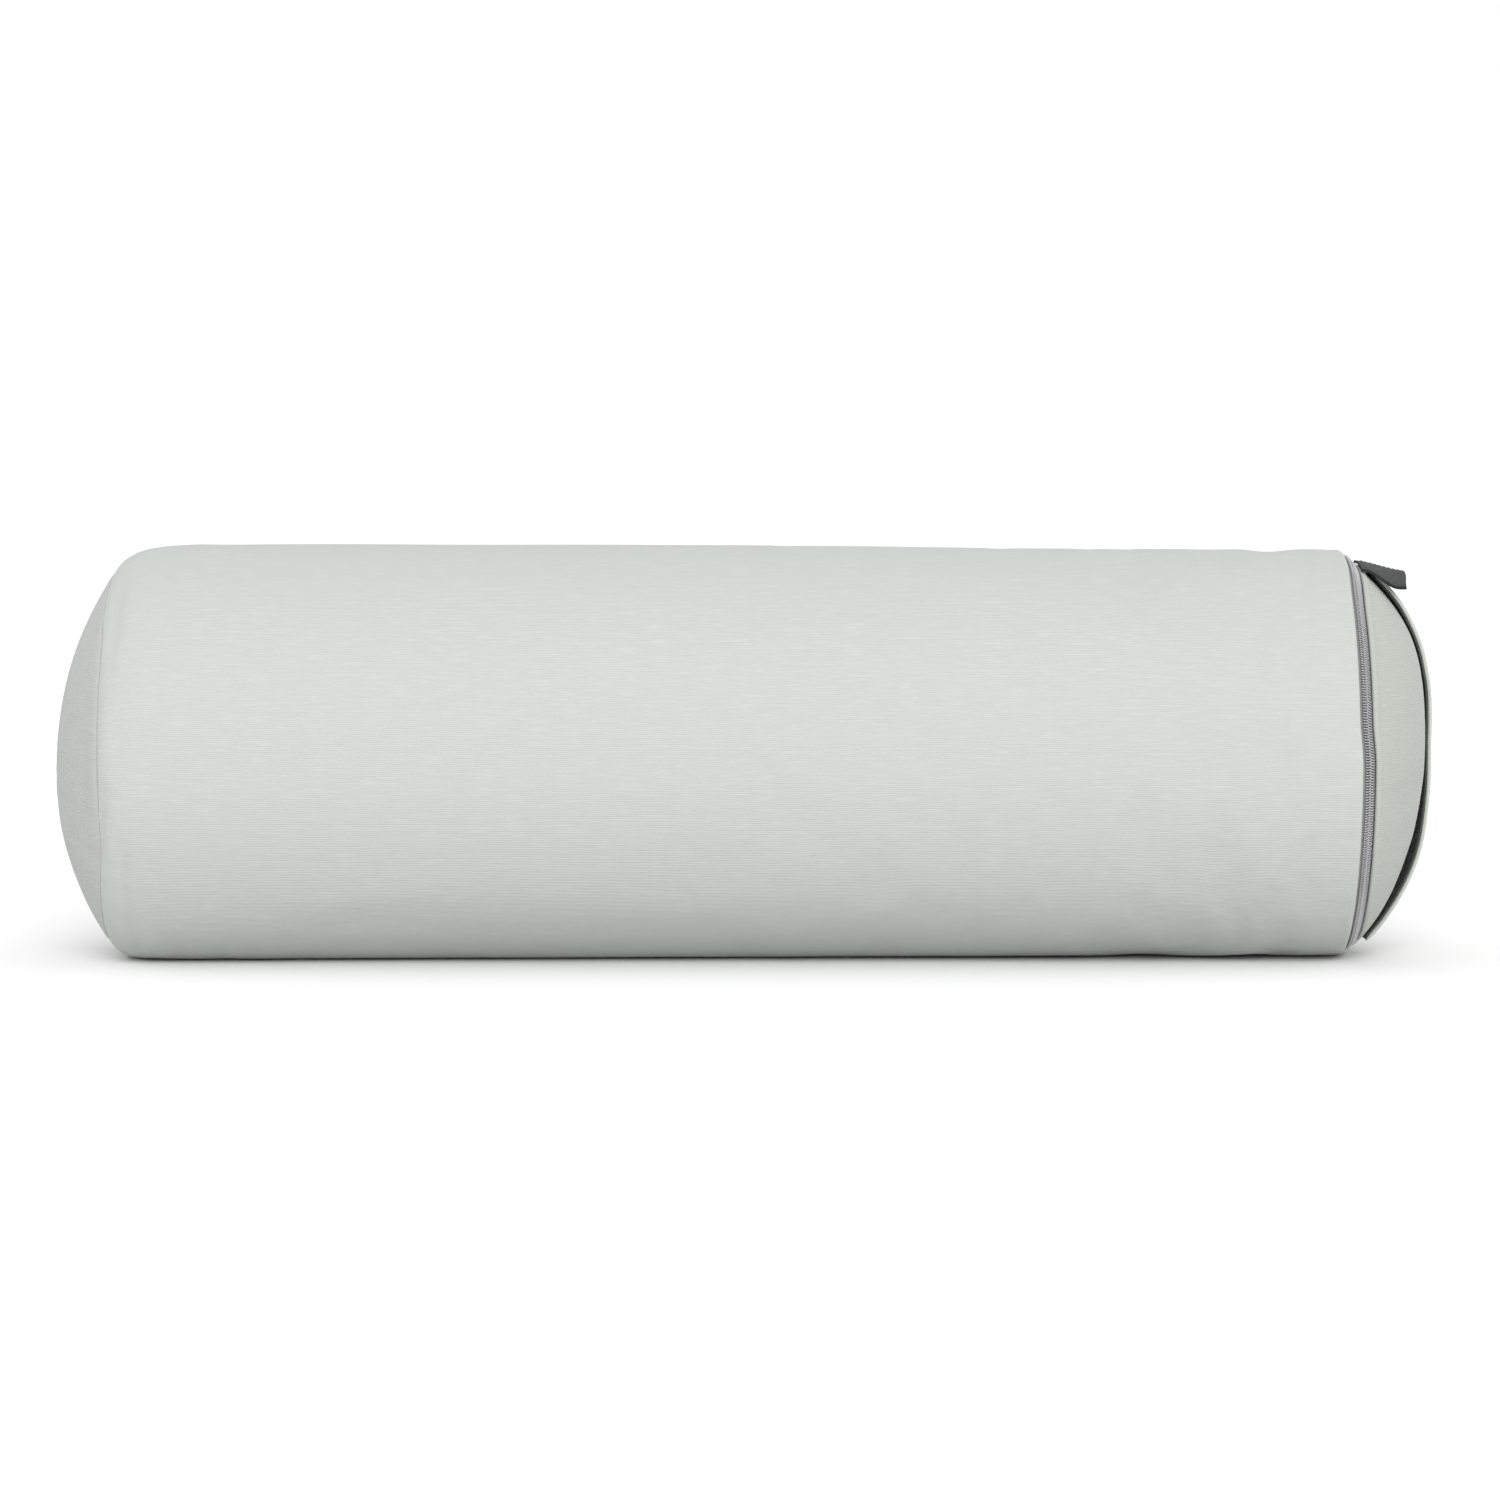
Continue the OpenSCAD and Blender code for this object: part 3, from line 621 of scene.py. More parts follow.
M_COVER = cover_cloth("cover_ribbed", (0.446, 0.466, 0.444))
# the zip end's cloth is the cover cloth made darker: painted shade on the right end
M_END_SHADED = cover_cloth("cover_ribbed_ends_painted_shade", (0.395, 0.413, 0.38))
# the left end's cloth is the cover cloth made darker: painted shade on the left dome
M_LEFT_SHADED = cover_cloth("cover_ribbed_left_painted_shade", (0.40, 0.412, 0.40))
M_TAPE = woven("zip_tape_herringbone", (0.25, 0.247, 0.25), 900, 1100, 0.00015, herring=True)
M_COIL = nylon("coil_nylon", (0.40, 0.395, 0.405))
M_METAL = enamel("slider_enamel", (0.30, 0.305, 0.32))
M_TAG = woven("tag_charcoal_twill", (0.026, 0.027, 0.028), 1100, 1400, 0.00012, 0.8, True, 0.3)
M_THREAD = yarn("cover_thread", (0.52, 0.54, 0.50))
M_ZIP_THREAD = yarn("zip_thread", (0.13, 0.13, 0.13))
M_TAG_THREAD = yarn("tag_thread", (0.07, 0.07, 0.072))
# the handle's face cloth is the cover cloth made lighter: painted light on the handle's face
M_STRAP_LIT = cover_cloth("handle_ribbed_painted_light", (0.47, 0.49, 0.455))
# the lining is given a near-black colour: painted shade for the gap between the handle and the dome
M_LINING_SHADE = woven("handle_lining_painted_shade", (0.085, 0.088, 0.076), 800, 800, 0.0002, contrast=0.2)
M_LINER = woven("liner_calico", (0.74, 0.70, 0.61), 1400, 1400, 0.0001)
M_LINER_THREAD = yarn("liner_thread", (0.70, 0.66, 0.57))
M_FIBRE = fibre("polyester_fibre", (0.86, 0.86, 0.85))
M_LABEL = woven("label_satin_weave", (0.82, 0.82, 0.80), 2600, 900, 0.00005, 0.45)


def dress(obj, mat, body, slot, *nodes):
    obj.data.materials.clear()
    obj.data.materials.append(mat)
    if body:
        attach(obj, body)
    if nodes:
        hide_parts(*nodes)
    return obj


# ---- Cover panels ----
COLS = 300
TH = np.linspace(0, TAU, COLS, endpoint=False)
TH1 = np.linspace(0, TAU, COLS + 1)
RIB_ROUND = round(TAU * R) / (TAU * R)


def zip_open(th):
    """1 over the zip's window, 0 over the plain part of the right seam."""
    deg = np.degrees((th + math.pi) % TAU - math.pi)
    return smooth((deg - ZIP_FROM + 2) / 4) * smooth((ZIP_TO + 2 - deg) / 4)


def seam_open(th):
    """How far the left seam shows: a clear line on the front, soft under the loose folds elsewhere."""
    deg = np.degrees((th + math.pi) % TAU - math.pi)
    front = smooth((deg - 40) / 12) * smooth((104 - deg) / 10)
    return 0.3 + 0.7 * np.maximum(front, smooth((-60 - deg) / 20) * smooth((deg + 150) / 20))


def build_body_panel():
    s = np.concatenate([
        S_SEAM + np.array([0.15, 0.3, 0.6, 1.0, 1.6, 2.4, 3.4, 4.6, 6.0, 7.6, 9.4, 11.5, 14]),
        np.linspace(S_SEAM + 16.5, S_EDGE - 16, 190),
        S_EDGE - np.array([13.5, 11, 9, 7, 5.5, 4.2, 3.1, 2.2, 1.5, 0.9, 0.45, 0.12])])
    ss = s[:, None] + 0 * TH[None, :]
    # where there is no zip, the panel runs on to the plain seam
    shut = 1 - zip_open(TH)[None, :]
    near = smooth((ss - S_EDGE + 20) / 20)
    ss = ss + shut * near * (BODY_GAP - 0.15)
    depth = 2.1 * np.exp(-((s[:, None] - S_SEAM) / 1.1)) * seam_open(TH)[None, :]
    depth = depth + shut * 1.9 * np.exp(-(S_ZIP - ss) / 1.0) * near
    # the long seam, behind and below
    deg = np.degrees((TH + math.pi) % TAU - math.pi)
    depth = depth + 0.9 * np.exp(-np.abs(deg + 130) / 0.55)[None, :] * smooth((ss - S_SEAM) / 8)
    # the hem stands up a little beside its stitching and rolls over at its edge
    fold = np.maximum(S_EDGE - ss, 0)
    depth = depth - (1 - shut) * 0.35 * bump(fold, 2.2, 1.6) + (1 - shut) * 0.5 * np.exp(-fold / 0.35)
    top = surface(ss, TH[None, :], depth)
    uv = np.zeros((len(s), COLS + 1, 2))
    uv[..., 0] = s[:, None] / 1000
    uv[..., 1] = TH1[None, :] * R * RIB_ROUND / 1000
    # the turned hem: round the edge and back underneath
    hem_s = S_EDGE + np.array([0.25, 0.1, -0.5, -2, -5, -9])
    hem_d = np.array([0.8, 1.5, 2.0, 2.35, 2.45, 2.5])
    hs = hem_s[:, None] + shut * (BODY_GAP - 0.45)
    hem = surface(hs, TH[None, :], hem_d[:, None] + shut * 1.0)
    huv = np.zeros((len(hem_s), COLS + 1, 2))
    huv[..., 0] = (s[-1] + np.arange(1, 7)[:, None]) / 1000
    huv[..., 1] = uv[-1, :, 1]
    left_s = S_SEAM + np.array([7, 4, 2, 0.8, 0.3])
    left_d = np.array([2.7, 2.7, 2.75, 2.8, 2.7])
    tuck = surface(left_s[:, None], TH[None, :], left_d[:, None])
    tuv = np.zeros((5, COLS + 1, 2))
    tuv[..., 0] = (s[0] - np.arange(5, 0, -1)[:, None]) / 1000
    tuv[..., 1] = uv[0, :, 1]
    return grid("cover_body_cloth", np.concatenate([tuck, top, hem]),
                np.concatenate([tuv, uv, huv]), wrap=True, flip=True)


cover = build_body_panel()
dress(cover, M_COVER, "bolster", "cover_fabric", "cover_body_panel")


def end_grid(name, p, cap):
    """A domed panel, with its weave laid flat across it."""
    uv = np.zeros((p.shape[0], COLS + 1, 2))
    q = np.concatenate([p, p[:, :1]], axis=1)
    uv[..., 0], uv[..., 1] = q[..., 1] / 1000, q[..., 2] / 1000
    return grid(name, p, uv, wrap=True, flip=True, cap=(cap,))


def build_left_end():
    s = np.concatenate([np.linspace(2.5, S_SEAM - 16, 40), S_SEAM - np.array(
        [13.5, 11.2, 9.2, 7.4, 5.8, 4.4, 3.2, 2.3, 1.5, 0.9, 0.5, 0.15])])
    depth = 2.1 * np.exp(-(S_SEAM - s[:, None]) / 1.1) * seam_open(TH)[None, :]
    s = np.concatenate([s, S_SEAM + np.array([-0.6, 1.5, 4, 7])])
    depth = np.concatenate([depth, np.array([[2.7], [3.0], [3.0], [3.0]]) + 0 * TH[None, :]])
    return end_grid("plain_end_cloth", surface(s[:, None], TH[None, :], depth), (0, False))


left_end = build_left_end()
# the left end takes the darker copy of the cover cloth, which paints shade on it
dress(left_end, M_LEFT_SHADED, "bolster", "cover_fabric", "plain_end_panel")


def build_right_end():
    s = np.concatenate([S_RIM + np.array([0.12, 0.45, 0.9, 1.5, 2.2, 3.1, 4.2, 5.5, 7, 9, 11]),
                        np.linspace(S_RIM + 13.5, OUT.length - 2.5, 42)])
    ss = s[:, None] + 0 * TH[None, :]
    shut = 1 - zip_open(TH)[None, :]
    near = smooth((S_RIM + 20 - ss) / 20)
    ss = ss - shut * near * (HALF_WINDOW - 0.15)
    depth = shut * 1.9 * np.exp(-(ss - S_ZIP) / 1.0) * near
    fold = np.maximum(ss - S_RIM, 0)
    depth = depth - (1 - shut) * 0.3 * bump(fold, 2.0, 1.5) + (1 - shut) * 0.5 * np.exp(-fold / 0.35)
    hem_s = (S_RIM + np.array([7, 3, 0.6, -0.05, -0.22]))[:, None] - shut * (HALF_WINDOW - 0.45)
    hem_d = np.array([2.45, 2.4, 2.2, 1.6, 0.8])[:, None] + shut * 1.0
    ss = np.concatenate([hem_s, ss])
    depth = np.concatenate([hem_d, depth])
    return end_grid("zip_end_cloth", surface(ss, TH[None, :], depth), (-1, True))


right_end = build_right_end()
# the zip end takes the darker copy of the cover cloth, which paints shade on it
dress(right_end, M_END_SHADED, "bolster", "cover_fabric", "zip_end_panel")


def tape(name, u_from, u_to, node):
    th = np.radians(np.linspace(ZIP_FROM - 4, ZIP_TO + 4, 420))
    u = np.linspace(u_from, u_to, 16)
    low = np.clip((np.abs(u) - 4.4) / 3, 0, 1) * 0.35
    return_u = np.concatenate([u, u[::-1]])
    d = np.concatenate([2.47 + low, 3.2 + low[::-1]])
    p = surface(S_ZIP + return_u[None, :], th[:, None], d[None, :])
    uv = np.zeros((len(th), len(return_u) + 1, 2))
    uv[..., 0] = th[:, None] * ZR / 1000
    uv[..., 1] = np.append(return_u, u[0])[None, :] / 1000
    obj = grid(name, p, uv, wrap=True, cap=((0, True), (-1, False)))
    dress(obj, M_TAPE, "bolster", "zip_tape", node)
    return obj


tape("zip_tape_body", -14.5, -0.25, "zip_tape_body_side")
tape("zip_tape_end", 0.25, 12.0, "zip_tape_end_side")


def coil(name, side, node):
    """One coil: turns of flattened nylon wire, each reaching between the other side's turns."""
    pitch = 1.36 / ZR
    turns = int(math.radians(COIL_TO - COIL_FROM) / pitch)
    per = 12
    k = np.arange(turns * per + 1) / per
    th = math.radians(COIL_FROM) + (k + (0.5 if side > 0 else 0)) * pitch
    a = TAU * k
    u = side * (1.42 - 1.78 * np.cos(a))
    n = 0.72 + 0.62 + 0.62 * np.sin(a)
    th = th + 0.22 * pitch * np.sin(a)
    path = surface(S_ZIP + u, th, SURF_N - n)
    obj = strands(name, [path], 0.29, sides=6)
    return dress(obj, M_COIL, "bolster", "zip_coil", node)


coil("zip_coil_body", -1, "zip_coil_body_side")
coil("zip_coil_end", 1, "zip_coil_end_side")


def ring_row(name, s, depth, a0, a1, pitch, radius, node, jitter=0.0):
    """A row of single stitches round the bolster at arc length s."""
    th = np.radians(np.linspace(a0, a1, max(40, int(abs(a1 - a0) * 2))))
    sway = jitter * wobble(th, (17, 29), 12)
    line = surface(s + sway, th, depth)
    _, _, nx, nr = OUT.at(s)
    out = np.stack([nx + 0 * th, -nr * np.sin(th), nr * np.cos(th)], axis=-1)
    obj = strands(name, stitch_paths(line, pitch, 0.72, 0.35, out), radius, fat=plump)
    return dress(obj, M_THREAD, "bolster", "thread", node)


ROW_TO = ZIP_TO - 0.5
ring_row("zip_row_body", S_EDGE - 1.55, 0.0, ZIP_FROM, ROW_TO, 2.9, 0.27, "zip_stitching_body_side", 0.12)
ring_row("zip_row_end", S_RIM + 1.6, 0.0, ZIP_FROM, ROW_TO, 2.9, 0.27, "zip_stitching_end_side", 0.12)


def coil_rows():
    """The rows of thread that hold each coil to its tape, one stitch a turn."""
    paths = []
    for side in (-1, 1):
        th = np.radians(np.linspace(COIL_FROM, COIL_TO, 500))
        line = surface(S_ZIP + side * 2.25, th, SURF_N - 2.05)
        out = np.stack([SLANT + 0 * th, -SLANT * np.sin(th), SLANT * np.cos(th)], axis=-1)
        paths += stitch_paths(line, 2.72, 0.8, 0.3, out)
    obj = strands("zip_coil_thread", paths, 0.2, sides=5, fat=plump)
    return dress(obj, M_ZIP_THREAD, "bolster", "zip_tape")


coil_rows()


def stop_block(name, at, width_deg, u0, u1, *nodes):
    """A small crimped stop with rounded edges across the coil."""
    th = np.radians(at) + np.radians(width_deg) * np.array([-0.5, -0.44, -0.3, 0, 0.3, 0.44, 0.5])
    shrink = np.array([0.72, 0.92, 1, 1, 1, 0.92, 0.72])
    a = np.linspace(0, TAU, 20, endpoint=False)
    mid, half = (u0 + u1) / 2, abs(u1 - u0) / 2
    cu = np.sign(np.cos(a)) * np.abs(np.cos(a)) ** 0.5
    cn = np.sign(np.sin(a)) * np.abs(np.sin(a)) ** 0.5
    u = mid + half * cu[None, :] * shrink[:, None]
    n = 1.45 + 1.0 * cn[None, :] * shrink[:, None]
    p = surface(S_ZIP + u, th[:, None], SURF_N - n)
    uv = np.zeros((len(th), len(a) + 1, 2))
    obj = grid(name, p, uv, wrap=True, flip=True, cap=((0, False), (-1, True)))
    return dress(obj, M_COIL, "bolster", "zip_coil", *nodes)


# one stop at the upper end of each coil, and one across both at the lower end
stop_block("zip_stops_upper", COIL_FROM - 1.1, 1.4, -0.5, -3.1, "zip_top_stops")
stop_block("zip_stops_upper_b", COIL_FROM - 1.1, 1.4, 0.5, 3.1)
stop_block("zip_stop_lower", COIL_TO + 1.2, 2.0, -3.2, 3.2, "zip_bottom_stop")

# ---- Plain seams and what is sewn inside ----
ring_row("plain_seam_stitches", S_SEAM, 3.0, 0, 359, 3.2, 0.22, "plain_end_seam_stitching")
ring_row("zip_end_seam_stitches", S_ZIP, 3.3, ZIP_TO + 5, 360 + ZIP_FROM - 5, 3.2, 0.22, "zip_end_seam_stitching")

# the angle of the long seams, behind and below
LONG_SEAM = -130


def line_row(name, s0, s1, depth, pitch, radius, *nodes,
             mat=M_THREAD, slot="thread", line=OUT, slant=0.0):
    """A row of stitches along the bolster over a long seam; slant leans each one across the row."""
    s = np.linspace(s0, s1, 240)
    th = np.radians(LONG_SEAM) + 0 * s
    paths = stitch_paths(surface(s, th, depth, line), pitch, 0.72, 0.3, outward(th))
    if slant:
        across = np.array([0, -math.cos(math.radians(LONG_SEAM)), -math.sin(math.radians(LONG_SEAM))])
        paths = [q + across * np.linspace(-slant, slant, len(q))[:, None] for q in paths]
    return dress(strands(name, paths, radius, fat=plump), mat, "bolster", slot, *nodes)


line_row("long_seam_stitches", S_SEAM + 14, S_EDGE - 14, 3.0, 3.0, 0.25, "body_long_seam_stitching")


def smooth_inner(depth):
    """The outline of an inner layer, rounded off at its corners."""
    line = Profile(outline(depth), soften=70)
    line.seam = line.where(r=SEAM_R - depth * 0.6)
    line.edge = line.where(x=seam(-HALF_WINDOW)[0] - depth)
    return line


# how deep the liner and the filling lie under the cover's surface
LINER_DEPTH, FILL_DEPTH = 6.2, 7.6
IN = smooth_inner(LINER_DEPTH)
FILL = smooth_inner(FILL_DEPTH)


def liner_panel(name, s0, s1, rows, node, caps=(), cols=160):
    """One panel of the inner pillow's calico case."""
    th = np.linspace(0, TAU, cols, endpoint=False)
    s = np.linspace(s0, s1, rows)
    p = surface(s[:, None], th[None, :], 0.0, IN)
    p[..., 2] = np.maximum(p[..., 2], LINER_DEPTH)
    uv = np.zeros((rows, cols + 1, 2))
    uv[..., 0] = s[:, None] / 1000
    uv[..., 1] = np.linspace(0, TAU, cols + 1)[None, :] * R / 1000
    obj = thicken(grid(name, p, uv, wrap=True, flip=True, cap=caps), 0.5)
    dress(apply_modifiers(obj), M_LINER, "bolster", "liner_cotton", node)
    return obj


liner_panel("liner_body_cloth", IN.seam + 0.3, IN.edge - 0.3, 120, "liner_body_panel")
liner_panel("liner_plain_end_cloth", 3, IN.seam - 0.3, 30, "liner_plain_end",
            ((0, False),))
liner_panel("liner_zip_end_cloth", IN.edge + 0.3, IN.length - 3, 30, "liner_zip_end",
            ((-1, True),))


def inner_rings():
    paths = []
    for s in (IN.seam, IN.edge):
        th = np.linspace(0, TAU, 400)
        line = surface(s, th, 0.7, IN)
        line[:, 2] = np.maximum(line[:, 2], LINER_DEPTH + 0.7)
        paths += stitch_paths(line, 3.0, 0.75, 0.2, outward(th))
    obj = strands("liner_ring_stitches", paths, 0.2, sides=5, fat=plump)
    return dress(obj, M_LINER_THREAD, "bolster", "liner_cotton", "liner_end_seam_stitching")


inner_rings()
MIDDLE = (IN.seam + IN.edge) / 2
# half of the opening in the liner's long seam, which is closed by hand
OPENING = 90
calico = {"mat": M_LINER_THREAD, "slot": "liner_cotton", "line": IN}
line_row("liner_long_stitches", IN.seam + 2, MIDDLE - OPENING - 1, -0.05, 2.6, 0.2,
         "liner_long_seam_stitching", **calico)
line_row("liner_long_stitches_b", MIDDLE + OPENING + 1, IN.edge - 2, -0.05, 2.6, 0.2, **calico)
line_row("liner_closing_stitches", MIDDLE - OPENING, MIDDLE + OPENING, -0.1, 4.2, 0.26,
         "liner_closing_stitching", slant=1.1, **calico)


def build_filling():
    cols, rows = 140, 150
    th = np.linspace(0, TAU, cols, endpoint=False)
    s = np.linspace(3, FILL.length - 3, rows)
    g = np.random.default_rng(5)
    tufts = g.normal(0, 1, (rows, cols))
    for _ in range(3):
        shifted = [np.roll(tufts, step, axis) for axis in (0, 1) for step in (1, -1)]
        tufts = (tufts + sum(shifted)) / 5
    p = surface(s[:, None], th[None, :], 0.6 - 1.1 * np.clip(tufts, -0.5, 0.5), FILL)
    p[..., 2] = np.maximum(p[..., 2], FILL_DEPTH + 0.2)
    uv = np.zeros((rows, cols + 1, 2))
    obj = grid("fibre_filling", p, uv, wrap=True, flip=True, cap=((0, False), (-1, True)))
    dress(obj, M_FIBRE, "bolster", "fibre_fill", "filling")
    return obj


build_filling()


def build_label():
    """A blank woven label, caught in the seam and lying on the liner."""
    th = np.radians(np.linspace(-80, -68, 14))
    s = np.linspace(S_EDGE - 44, S_EDGE - 3, 24)
    loop_s = np.concatenate([s, s[::-1]])
    d = np.concatenate([3.9 + 0 * s, 4.2 + 0 * s])
    p = surface(loop_s[None, :], th[:, None], d[None, :])
    uv = np.zeros((len(th), len(loop_s) + 1, 2))
    uv[..., 0] = np.append(loop_s, s[0])[None, :] / 1000
    uv[..., 1] = th[:, None] * R / 1000
    obj = grid("blank_label", p, uv, wrap=True, cap=((0, True), (-1, False)))
    dress(obj, M_LABEL, "bolster", "label_satin", "care_label")
    return obj


build_label()


# ---- Slider and its pull: the CAD pieces in enamelled metal ----
for node in ("zip_slider_body", "zip_pull"):
    mesh = frame["nodes"][node].data
    mesh.materials.clear()
    mesh.materials.append(M_METAL)

# ---- Seam tag: a folded tag that droops and twists a little ----
TAG_X = JOINTS["tag_flip"]["pos_m"][0] * 1000
TAG_FAR, TAG_NEAR = math.radians(-4.5), math.radians(15.5)
TAG_T = 0.62


def tag_surface(w, l):
    """A point of the tag's middle sheet: w from its far edge to its near edge, l from seam to fold."""
    w, l = np.broadcast_arrays(np.asarray(w, float), np.asarray(l, float))
    th = TAG_FAR + (TAG_NEAR - TAG_FAR) * w
    r = math.hypot(*(np.array(JOINTS["tag_flip"]["pos_m"][1:]) * 1000 - [0, AX]))
    x0, y0, z0 = TAG_X - 0.2, -r * np.sin(th), AX + 0.55 + r * np.cos(th)
    reach = 25.2 - 2.2 * w
    drop = 5.4 + 4.2 * w
    x = x0 + reach * l + 0.5 * np.sin(w * 5.0) * l
    droop = drop * ((0.34 - 0.3 * w) * l + (0.66 + 0.3 * w) * smooth(l * (1 + 0.18 * w)))
    curl = 0.5 * np.sin(w * 7 + 1.0) * smooth(l) - 0.9 * (w - 0.5) ** 2 * l
    z = z0 - droop + curl
    y = y0 + 0.8 * (w - 0.5) * l
    return np.stack([x, y, z], axis=-1)


def tag_normal(w, l):
    e = 1e-3
    a = tag_surface(w, l + e) - tag_surface(w, l - e)
    b = tag_surface(w + e, l) - tag_surface(w - e, l)
    n = np.cross(a, b)
    n /= np.linalg.norm(n, axis=-1)[..., None]
    return np.where(n[..., 2:] < 0, -n, n)


def build_tag():
    out = np.linspace(-0.035, 0.985, 34)
    gap = 0.37
    turn = np.linspace(0, math.pi, 9)[1:-1]
    ls = np.concatenate([out, 0.985 + 0.013 * np.sin(turn), out[::-1]])
    hs = np.concatenate([gap + 0 * out, gap * np.cos(turn), -gap + 0 * out])
    # the layers part a little at the fold's near corner and meet at the seam
    w = np.linspace(0, 1, 30)
    lean = 1 + 0.35 * smooth((ls[:, None] - 0.3) / 0.6) * (0.35 + 0.65 * w[None, :])
    off = tag_normal(w[None, :], ls[:, None]) * hs[:, None, None] * lean[..., None]
    p = tag_surface(w[None, :], ls[:, None]) + off
    uv = np.zeros((len(ls), len(w), 2))
    run = np.concatenate([[0], np.cumsum(np.abs(np.diff(ls)) * 27 + np.abs(np.diff(hs)))])
    uv[..., 0], uv[..., 1] = run[:, None] / 1000, w[None, :] * 0.035
    obj = apply_modifiers(thicken(grid("seam_tag_cloth", p, uv), TAG_T, 0.0))
    dress(obj, M_TAG, None, "tag_cloth", "seam_tag")
    return obj


def build_tag_rows():
    paths = []
    for face in (1, -1):
        for edge in (0.045, 0.955):
            l = np.linspace(0.06, 0.93, 40)
            n = tag_normal(edge + 0 * l, l) * face
            line = tag_surface(edge + 0 * l, l) + n * 0.72
            paths += stitch_paths(line, 2.3, 0.74, 0.3, n)
        w = np.linspace(0.06, 0.94, 40)
        n = tag_normal(w, 0.09 + 0 * w) * face
        paths += stitch_paths(tag_surface(w, 0.09 + 0 * w) + n * 0.72, 2.3, 0.74, 0.3, n)
    obj = strands("seam_tag_stitches", paths, 0.19, fat=plump)
    return dress(obj, M_TAG_THREAD, None, "tag_thread", "seam_tag_stitching")


for piece in (build_tag(), build_tag_rows()):
    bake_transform(piece)

# ---- Carry handle: a lined strap that stands off the dome ----
outer_lo, outer_hi = box("handle_strap_outer")
STRAP_W = outer_hi[1] - outer_lo[1]
LINING_T, FACE_T = 0.8, 2.1


def strap_base():
    """The dome's line under the handle, (x, z over the axis) from the top over the pole to the foot."""
    s = np.linspace(S_RIM + 1, OUT.length - 0.5, 200)
    p = np.concatenate([surface(s, 0.0), surface(s[::-1], math.pi)])[:, [0, 2]] - [0, AX]
    for _ in range(30):
        p[1:-1] = (p[:-2] + p[1:-1] + p[2:]) / 3
    along = np.concatenate([[0], np.cumsum(np.linalg.norm(np.diff(p, axis=0), axis=1))])
    tan = np.gradient(p, axis=0) / np.gradient(along)[:, None]
    lo, hi = np.interp([-94.5, 96.0], -p[:, 1], along)
    return p, along, tan, lo, hi


BASE, BASE_S, BASE_T, BASE_LO, BASE_HI = strap_base()


def strap_point(t, d):
    """(x, z over the axis) of the handle at t from its top to its foot, d out from its inside."""
    at = BASE_LO + (BASE_HI - BASE_LO) * np.asarray(t, float)
    x, z = np.interp(at, BASE_S, BASE[:, 0]), np.interp(at, BASE_S, BASE[:, 1])
    tx, tz = np.interp(at, BASE_S, BASE_T[:, 0]), np.interp(at, BASE_S, BASE_T[:, 1])
    free = 1 - np.abs(2 * np.asarray(t, float) - 1) ** 6
    off = 0.3 + (0.35 + 0.8 * bump(z, 0, 34) + 3.0 * bump(z, -54, 26)) * free
    return x - tz * (off + d), z + tx * (off + d)


def strap_layer(name, d0, d1, width, pinch, mat, slot, node):
    """A layer of the handle, as a closed band with soft edges, drawn in along its rows of stitches."""
    t = np.linspace(0, 1, 150)
    half = width / 2
    y = half * np.sin(np.linspace(-math.pi / 2, math.pi / 2, 29))
    y = 0.6 * y + 0.4 * np.linspace(-half, half, 29)
    edge = 1 - 0.45 * smooth((np.abs(y) - half + 1.1) / 1.1)
    rows = pinch * (bump(np.abs(y), half - 3.5, 0.8))
    mid, thick = (d0 + d1) / 2, (d1 - d0) / 2
    loop_y = np.concatenate([y, y[::-1]])
    loop_d = np.concatenate([mid + thick * edge - rows, (mid - thick * edge)[::-1]])
    ends = 1 - 0.5 * (1 - smooth(np.minimum(t, 1 - t) / 0.02))
    sway = 0.35 * np.sin(t * 17 + 0.6) + 0.2 * np.sin(t * 41)
    d = mid + (loop_d[None, :] - mid) * ends[:, None] + 0.12 * np.sin(t * 23)[:, None]
    x, z = strap_point(t[:, None] + 0 * d, d)
    yy = loop_y[None, :] + sway[:, None]
    p = np.stack([x, yy + 0 * x, z + AX], axis=-1)
    uv = np.zeros((len(t), len(loop_y) + 1, 2))
    uv[..., 1] = (t * 0.235)[:, None]
    uv[..., 0] = np.concatenate([loop_y, loop_y[:1]])[None, :] / 1000
    obj = grid(name, p, uv, wrap=True, cap=((0, True), (-1, False)))
    dress(obj, mat, None, slot, node)
    return obj


handle = [
    # the near-black lining paints the shade in the gap under the handle; the face is the lighter copy of the
    # cover cloth, painted light
    strap_layer("handle_lining_cloth", 0.0, LINING_T - 0.05, STRAP_W - 1.0, 0.0, M_LINING_SHADE,
                "strap_lining", "handle_strap_lining"),
    strap_layer("handle_face_cloth", LINING_T + 0.05, LINING_T + FACE_T + 0.05, STRAP_W, 0.32, M_STRAP_LIT,
                "cover_fabric", "handle_strap_outer"),
]


def strap_rows(name, spans, radius, node):
    """Rows of stitches on the handle's face; a span is (t from, t to, y from, y to)."""
    paths = []
    for t0, t1, y0, y1 in spans:
        t, y = np.linspace(t0, t1, 160), np.linspace(y0, y1, 160)
        x, z = strap_point(t, LINING_T + FACE_T - 0.12)
        x2, z2 = strap_point(t, LINING_T + FACE_T + 0.88)
        sway = 0.35 * np.sin(t * 17 + 0.6) + 0.2 * np.sin(t * 41)
        line = np.stack([x, y + sway, z + AX], axis=-1)
        out = np.stack([x2 - x, 0 * y, z2 - z], axis=-1)
        paths += stitch_paths(line, 3.1, 0.74, 0.35, out)
    obj = strands(name, paths, radius, fat=plump)
    return dress(obj, M_THREAD, None, "thread", node)


def tack(a, b, half=12):
    """A box with a cross in it, between two places along the handle."""
    return [(a, a, -half, half), (b, b, -half, half), (a, b, -half, half), (a, b, half, -half)]


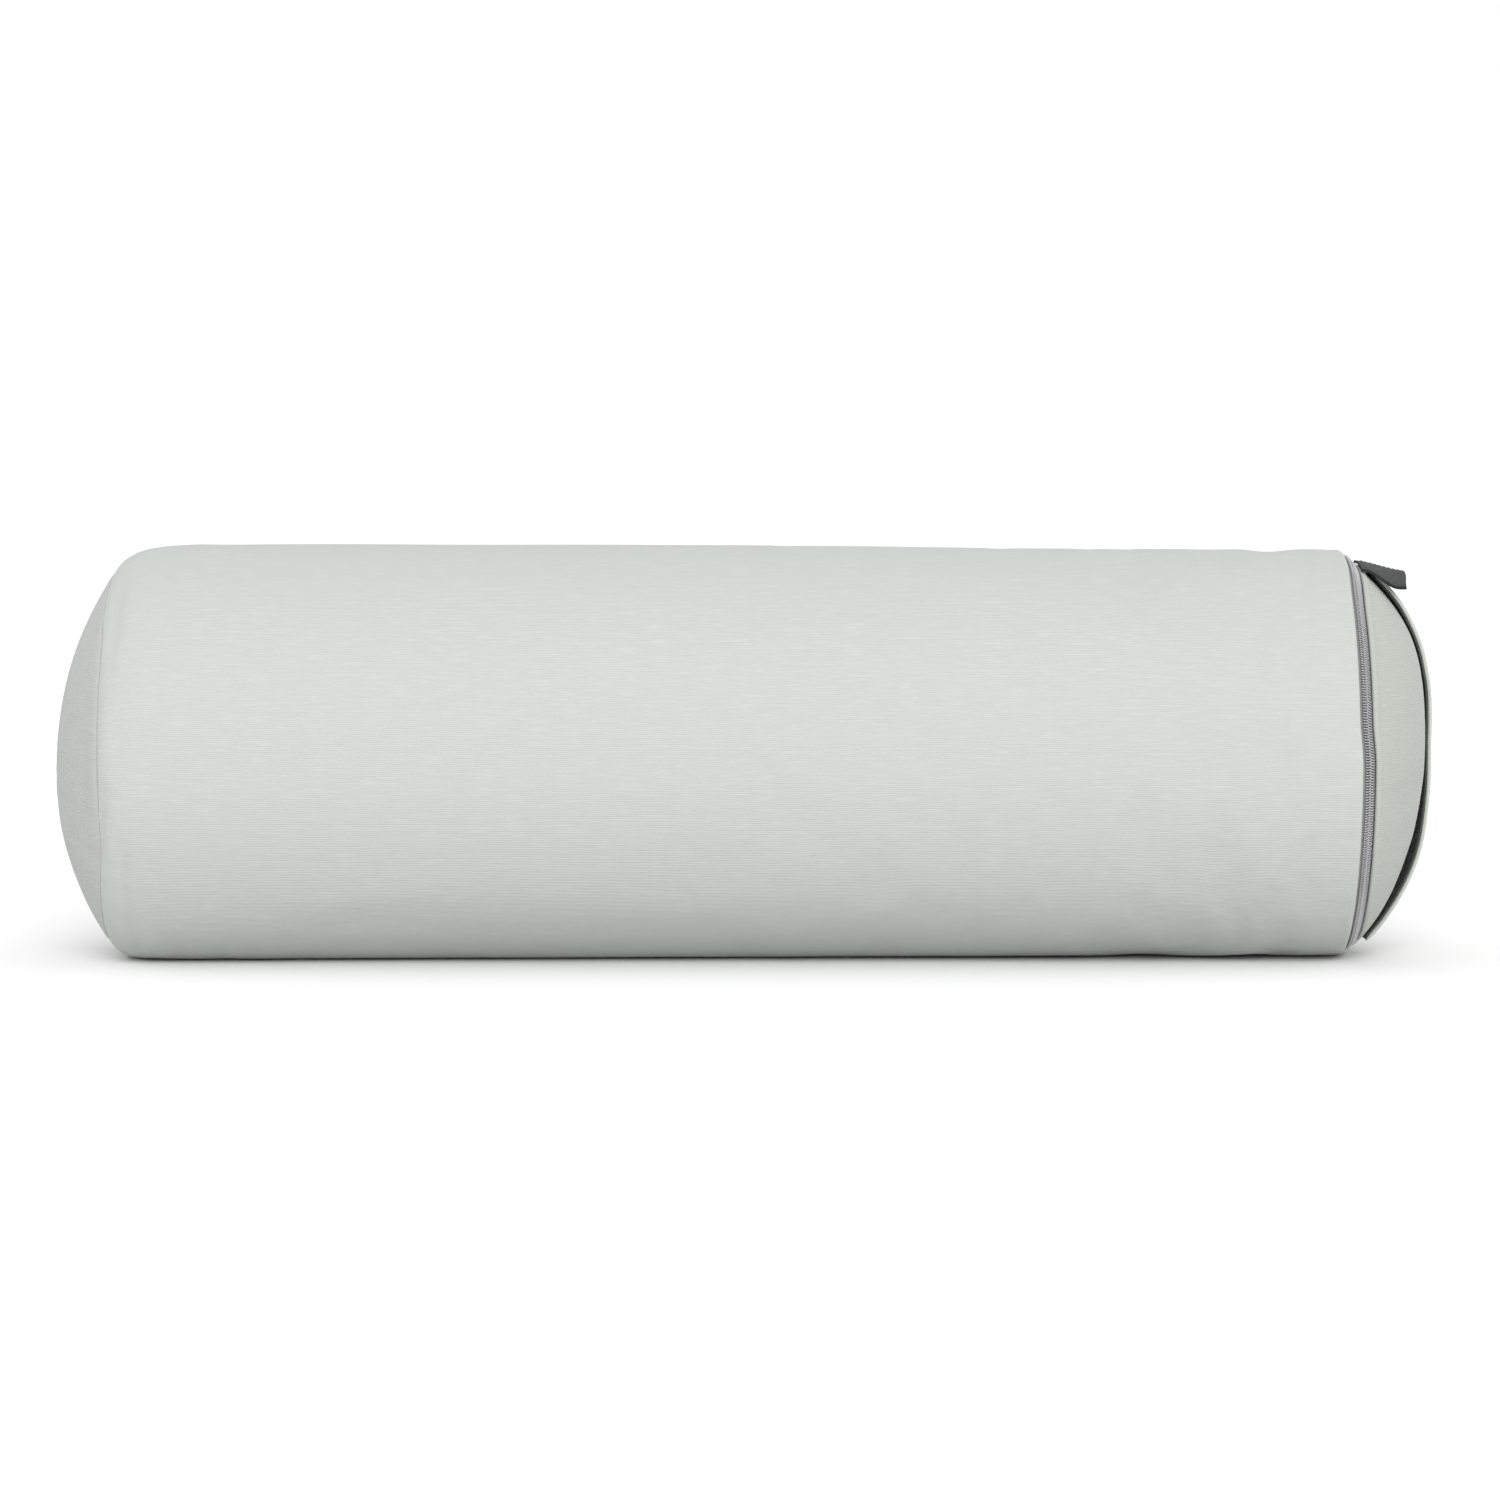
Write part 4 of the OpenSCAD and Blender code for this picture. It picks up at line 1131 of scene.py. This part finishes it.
half_row = STRAP_W / 2 - 3.5
long_rows = [(0.02, 0.98, side * half_row, side * half_row) for side in (-1, 1)]
handle += [
    strap_rows("handle_row_stitches", long_rows, 0.26, "handle_edge_stitching"),
    strap_rows("handle_tack_upper", tack(0.016, 0.052), 0.3, "handle_tack_top"),
    strap_rows("handle_tack_lower", tack(0.984, 0.948), 0.3, "handle_tack_bottom"),
]
for piece in handle:
    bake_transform(piece)

# ---- Studio ----
FLOOR_HALF, FLOOR_Z = 9000, -0.4


def build_floor():
    """A plain pale floor, with the faintest change of tone."""
    m = Shader("studio_floor", 0.9, Specular_IOR_Level=0.0)
    grain = m.nodes.new("ShaderNodeTexNoise")
    grain.inputs["Scale"].default_value = 3.0
    tone = m.nodes.new("ShaderNodeMapRange")
    tone.inputs["To Min"].default_value = 0.86
    tone.inputs["To Max"].default_value = 0.88
    m.links.new(grain.outputs["Fac"], tone.inputs["Value"])
    m.tint(tone.outputs["Result"])
    corners = [(-1, -1), (1, -1), (1, 1), (-1, 1)]
    verts = [(x * FLOOR_HALF, y * FLOOR_HALF, FLOOR_Z) for x, y in corners]
    floor = finish_mesh("studio_floor", verts, [[0, 1, 2, 3]])
    floor.data.materials.append(m.material)


def light_studio():
    """An even white surround and one broad soft light from the front, a little above."""
    world = bpy.data.worlds.new("studio")
    world.use_nodes = True
    background = world.node_tree.nodes["Background"]
    background.inputs["Color"].default_value = (1.0, 1.0, 1.0, 1)
    background.inputs["Strength"].default_value = 1.0
    bpy.context.scene.world = world
    data = bpy.data.lights.new("key_soft", "SUN")
    data.energy = 2.0
    data.angle = math.radians(40)
    sun = bpy.data.objects.new("key_soft", data)
    sun.location = (0.15, -2.2, 1.2)
    sun.rotation_euler = (Vector((0, 0, 0.1)) - sun.location).to_track_quat("-Z", "Y").to_euler()
    bpy.context.scene.collection.objects.link(sun)


def place_camera(distance=2.6, elevation=math.radians(4)):
    """Almost level with the bolster's axis, in front of its middle."""
    data = bpy.data.cameras.new("camera")
    data.sensor_width = 36
    data.lens = 118.3
    data.shift_x, data.shift_y = 0.0033, 0.002
    data.clip_end = 60
    cam = bpy.data.objects.new("camera", data)
    cam.location = (0, -distance * math.cos(elevation), AX / 1000 + distance * math.sin(elevation))
    cam.rotation_euler = (math.pi / 2 - elevation, 0, 0)
    bpy.context.scene.collection.objects.link(cam)
    bpy.context.scene.camera = cam


build_floor()
light_studio()
place_camera()
bpy.context.scene.view_settings.view_transform = "Standard"
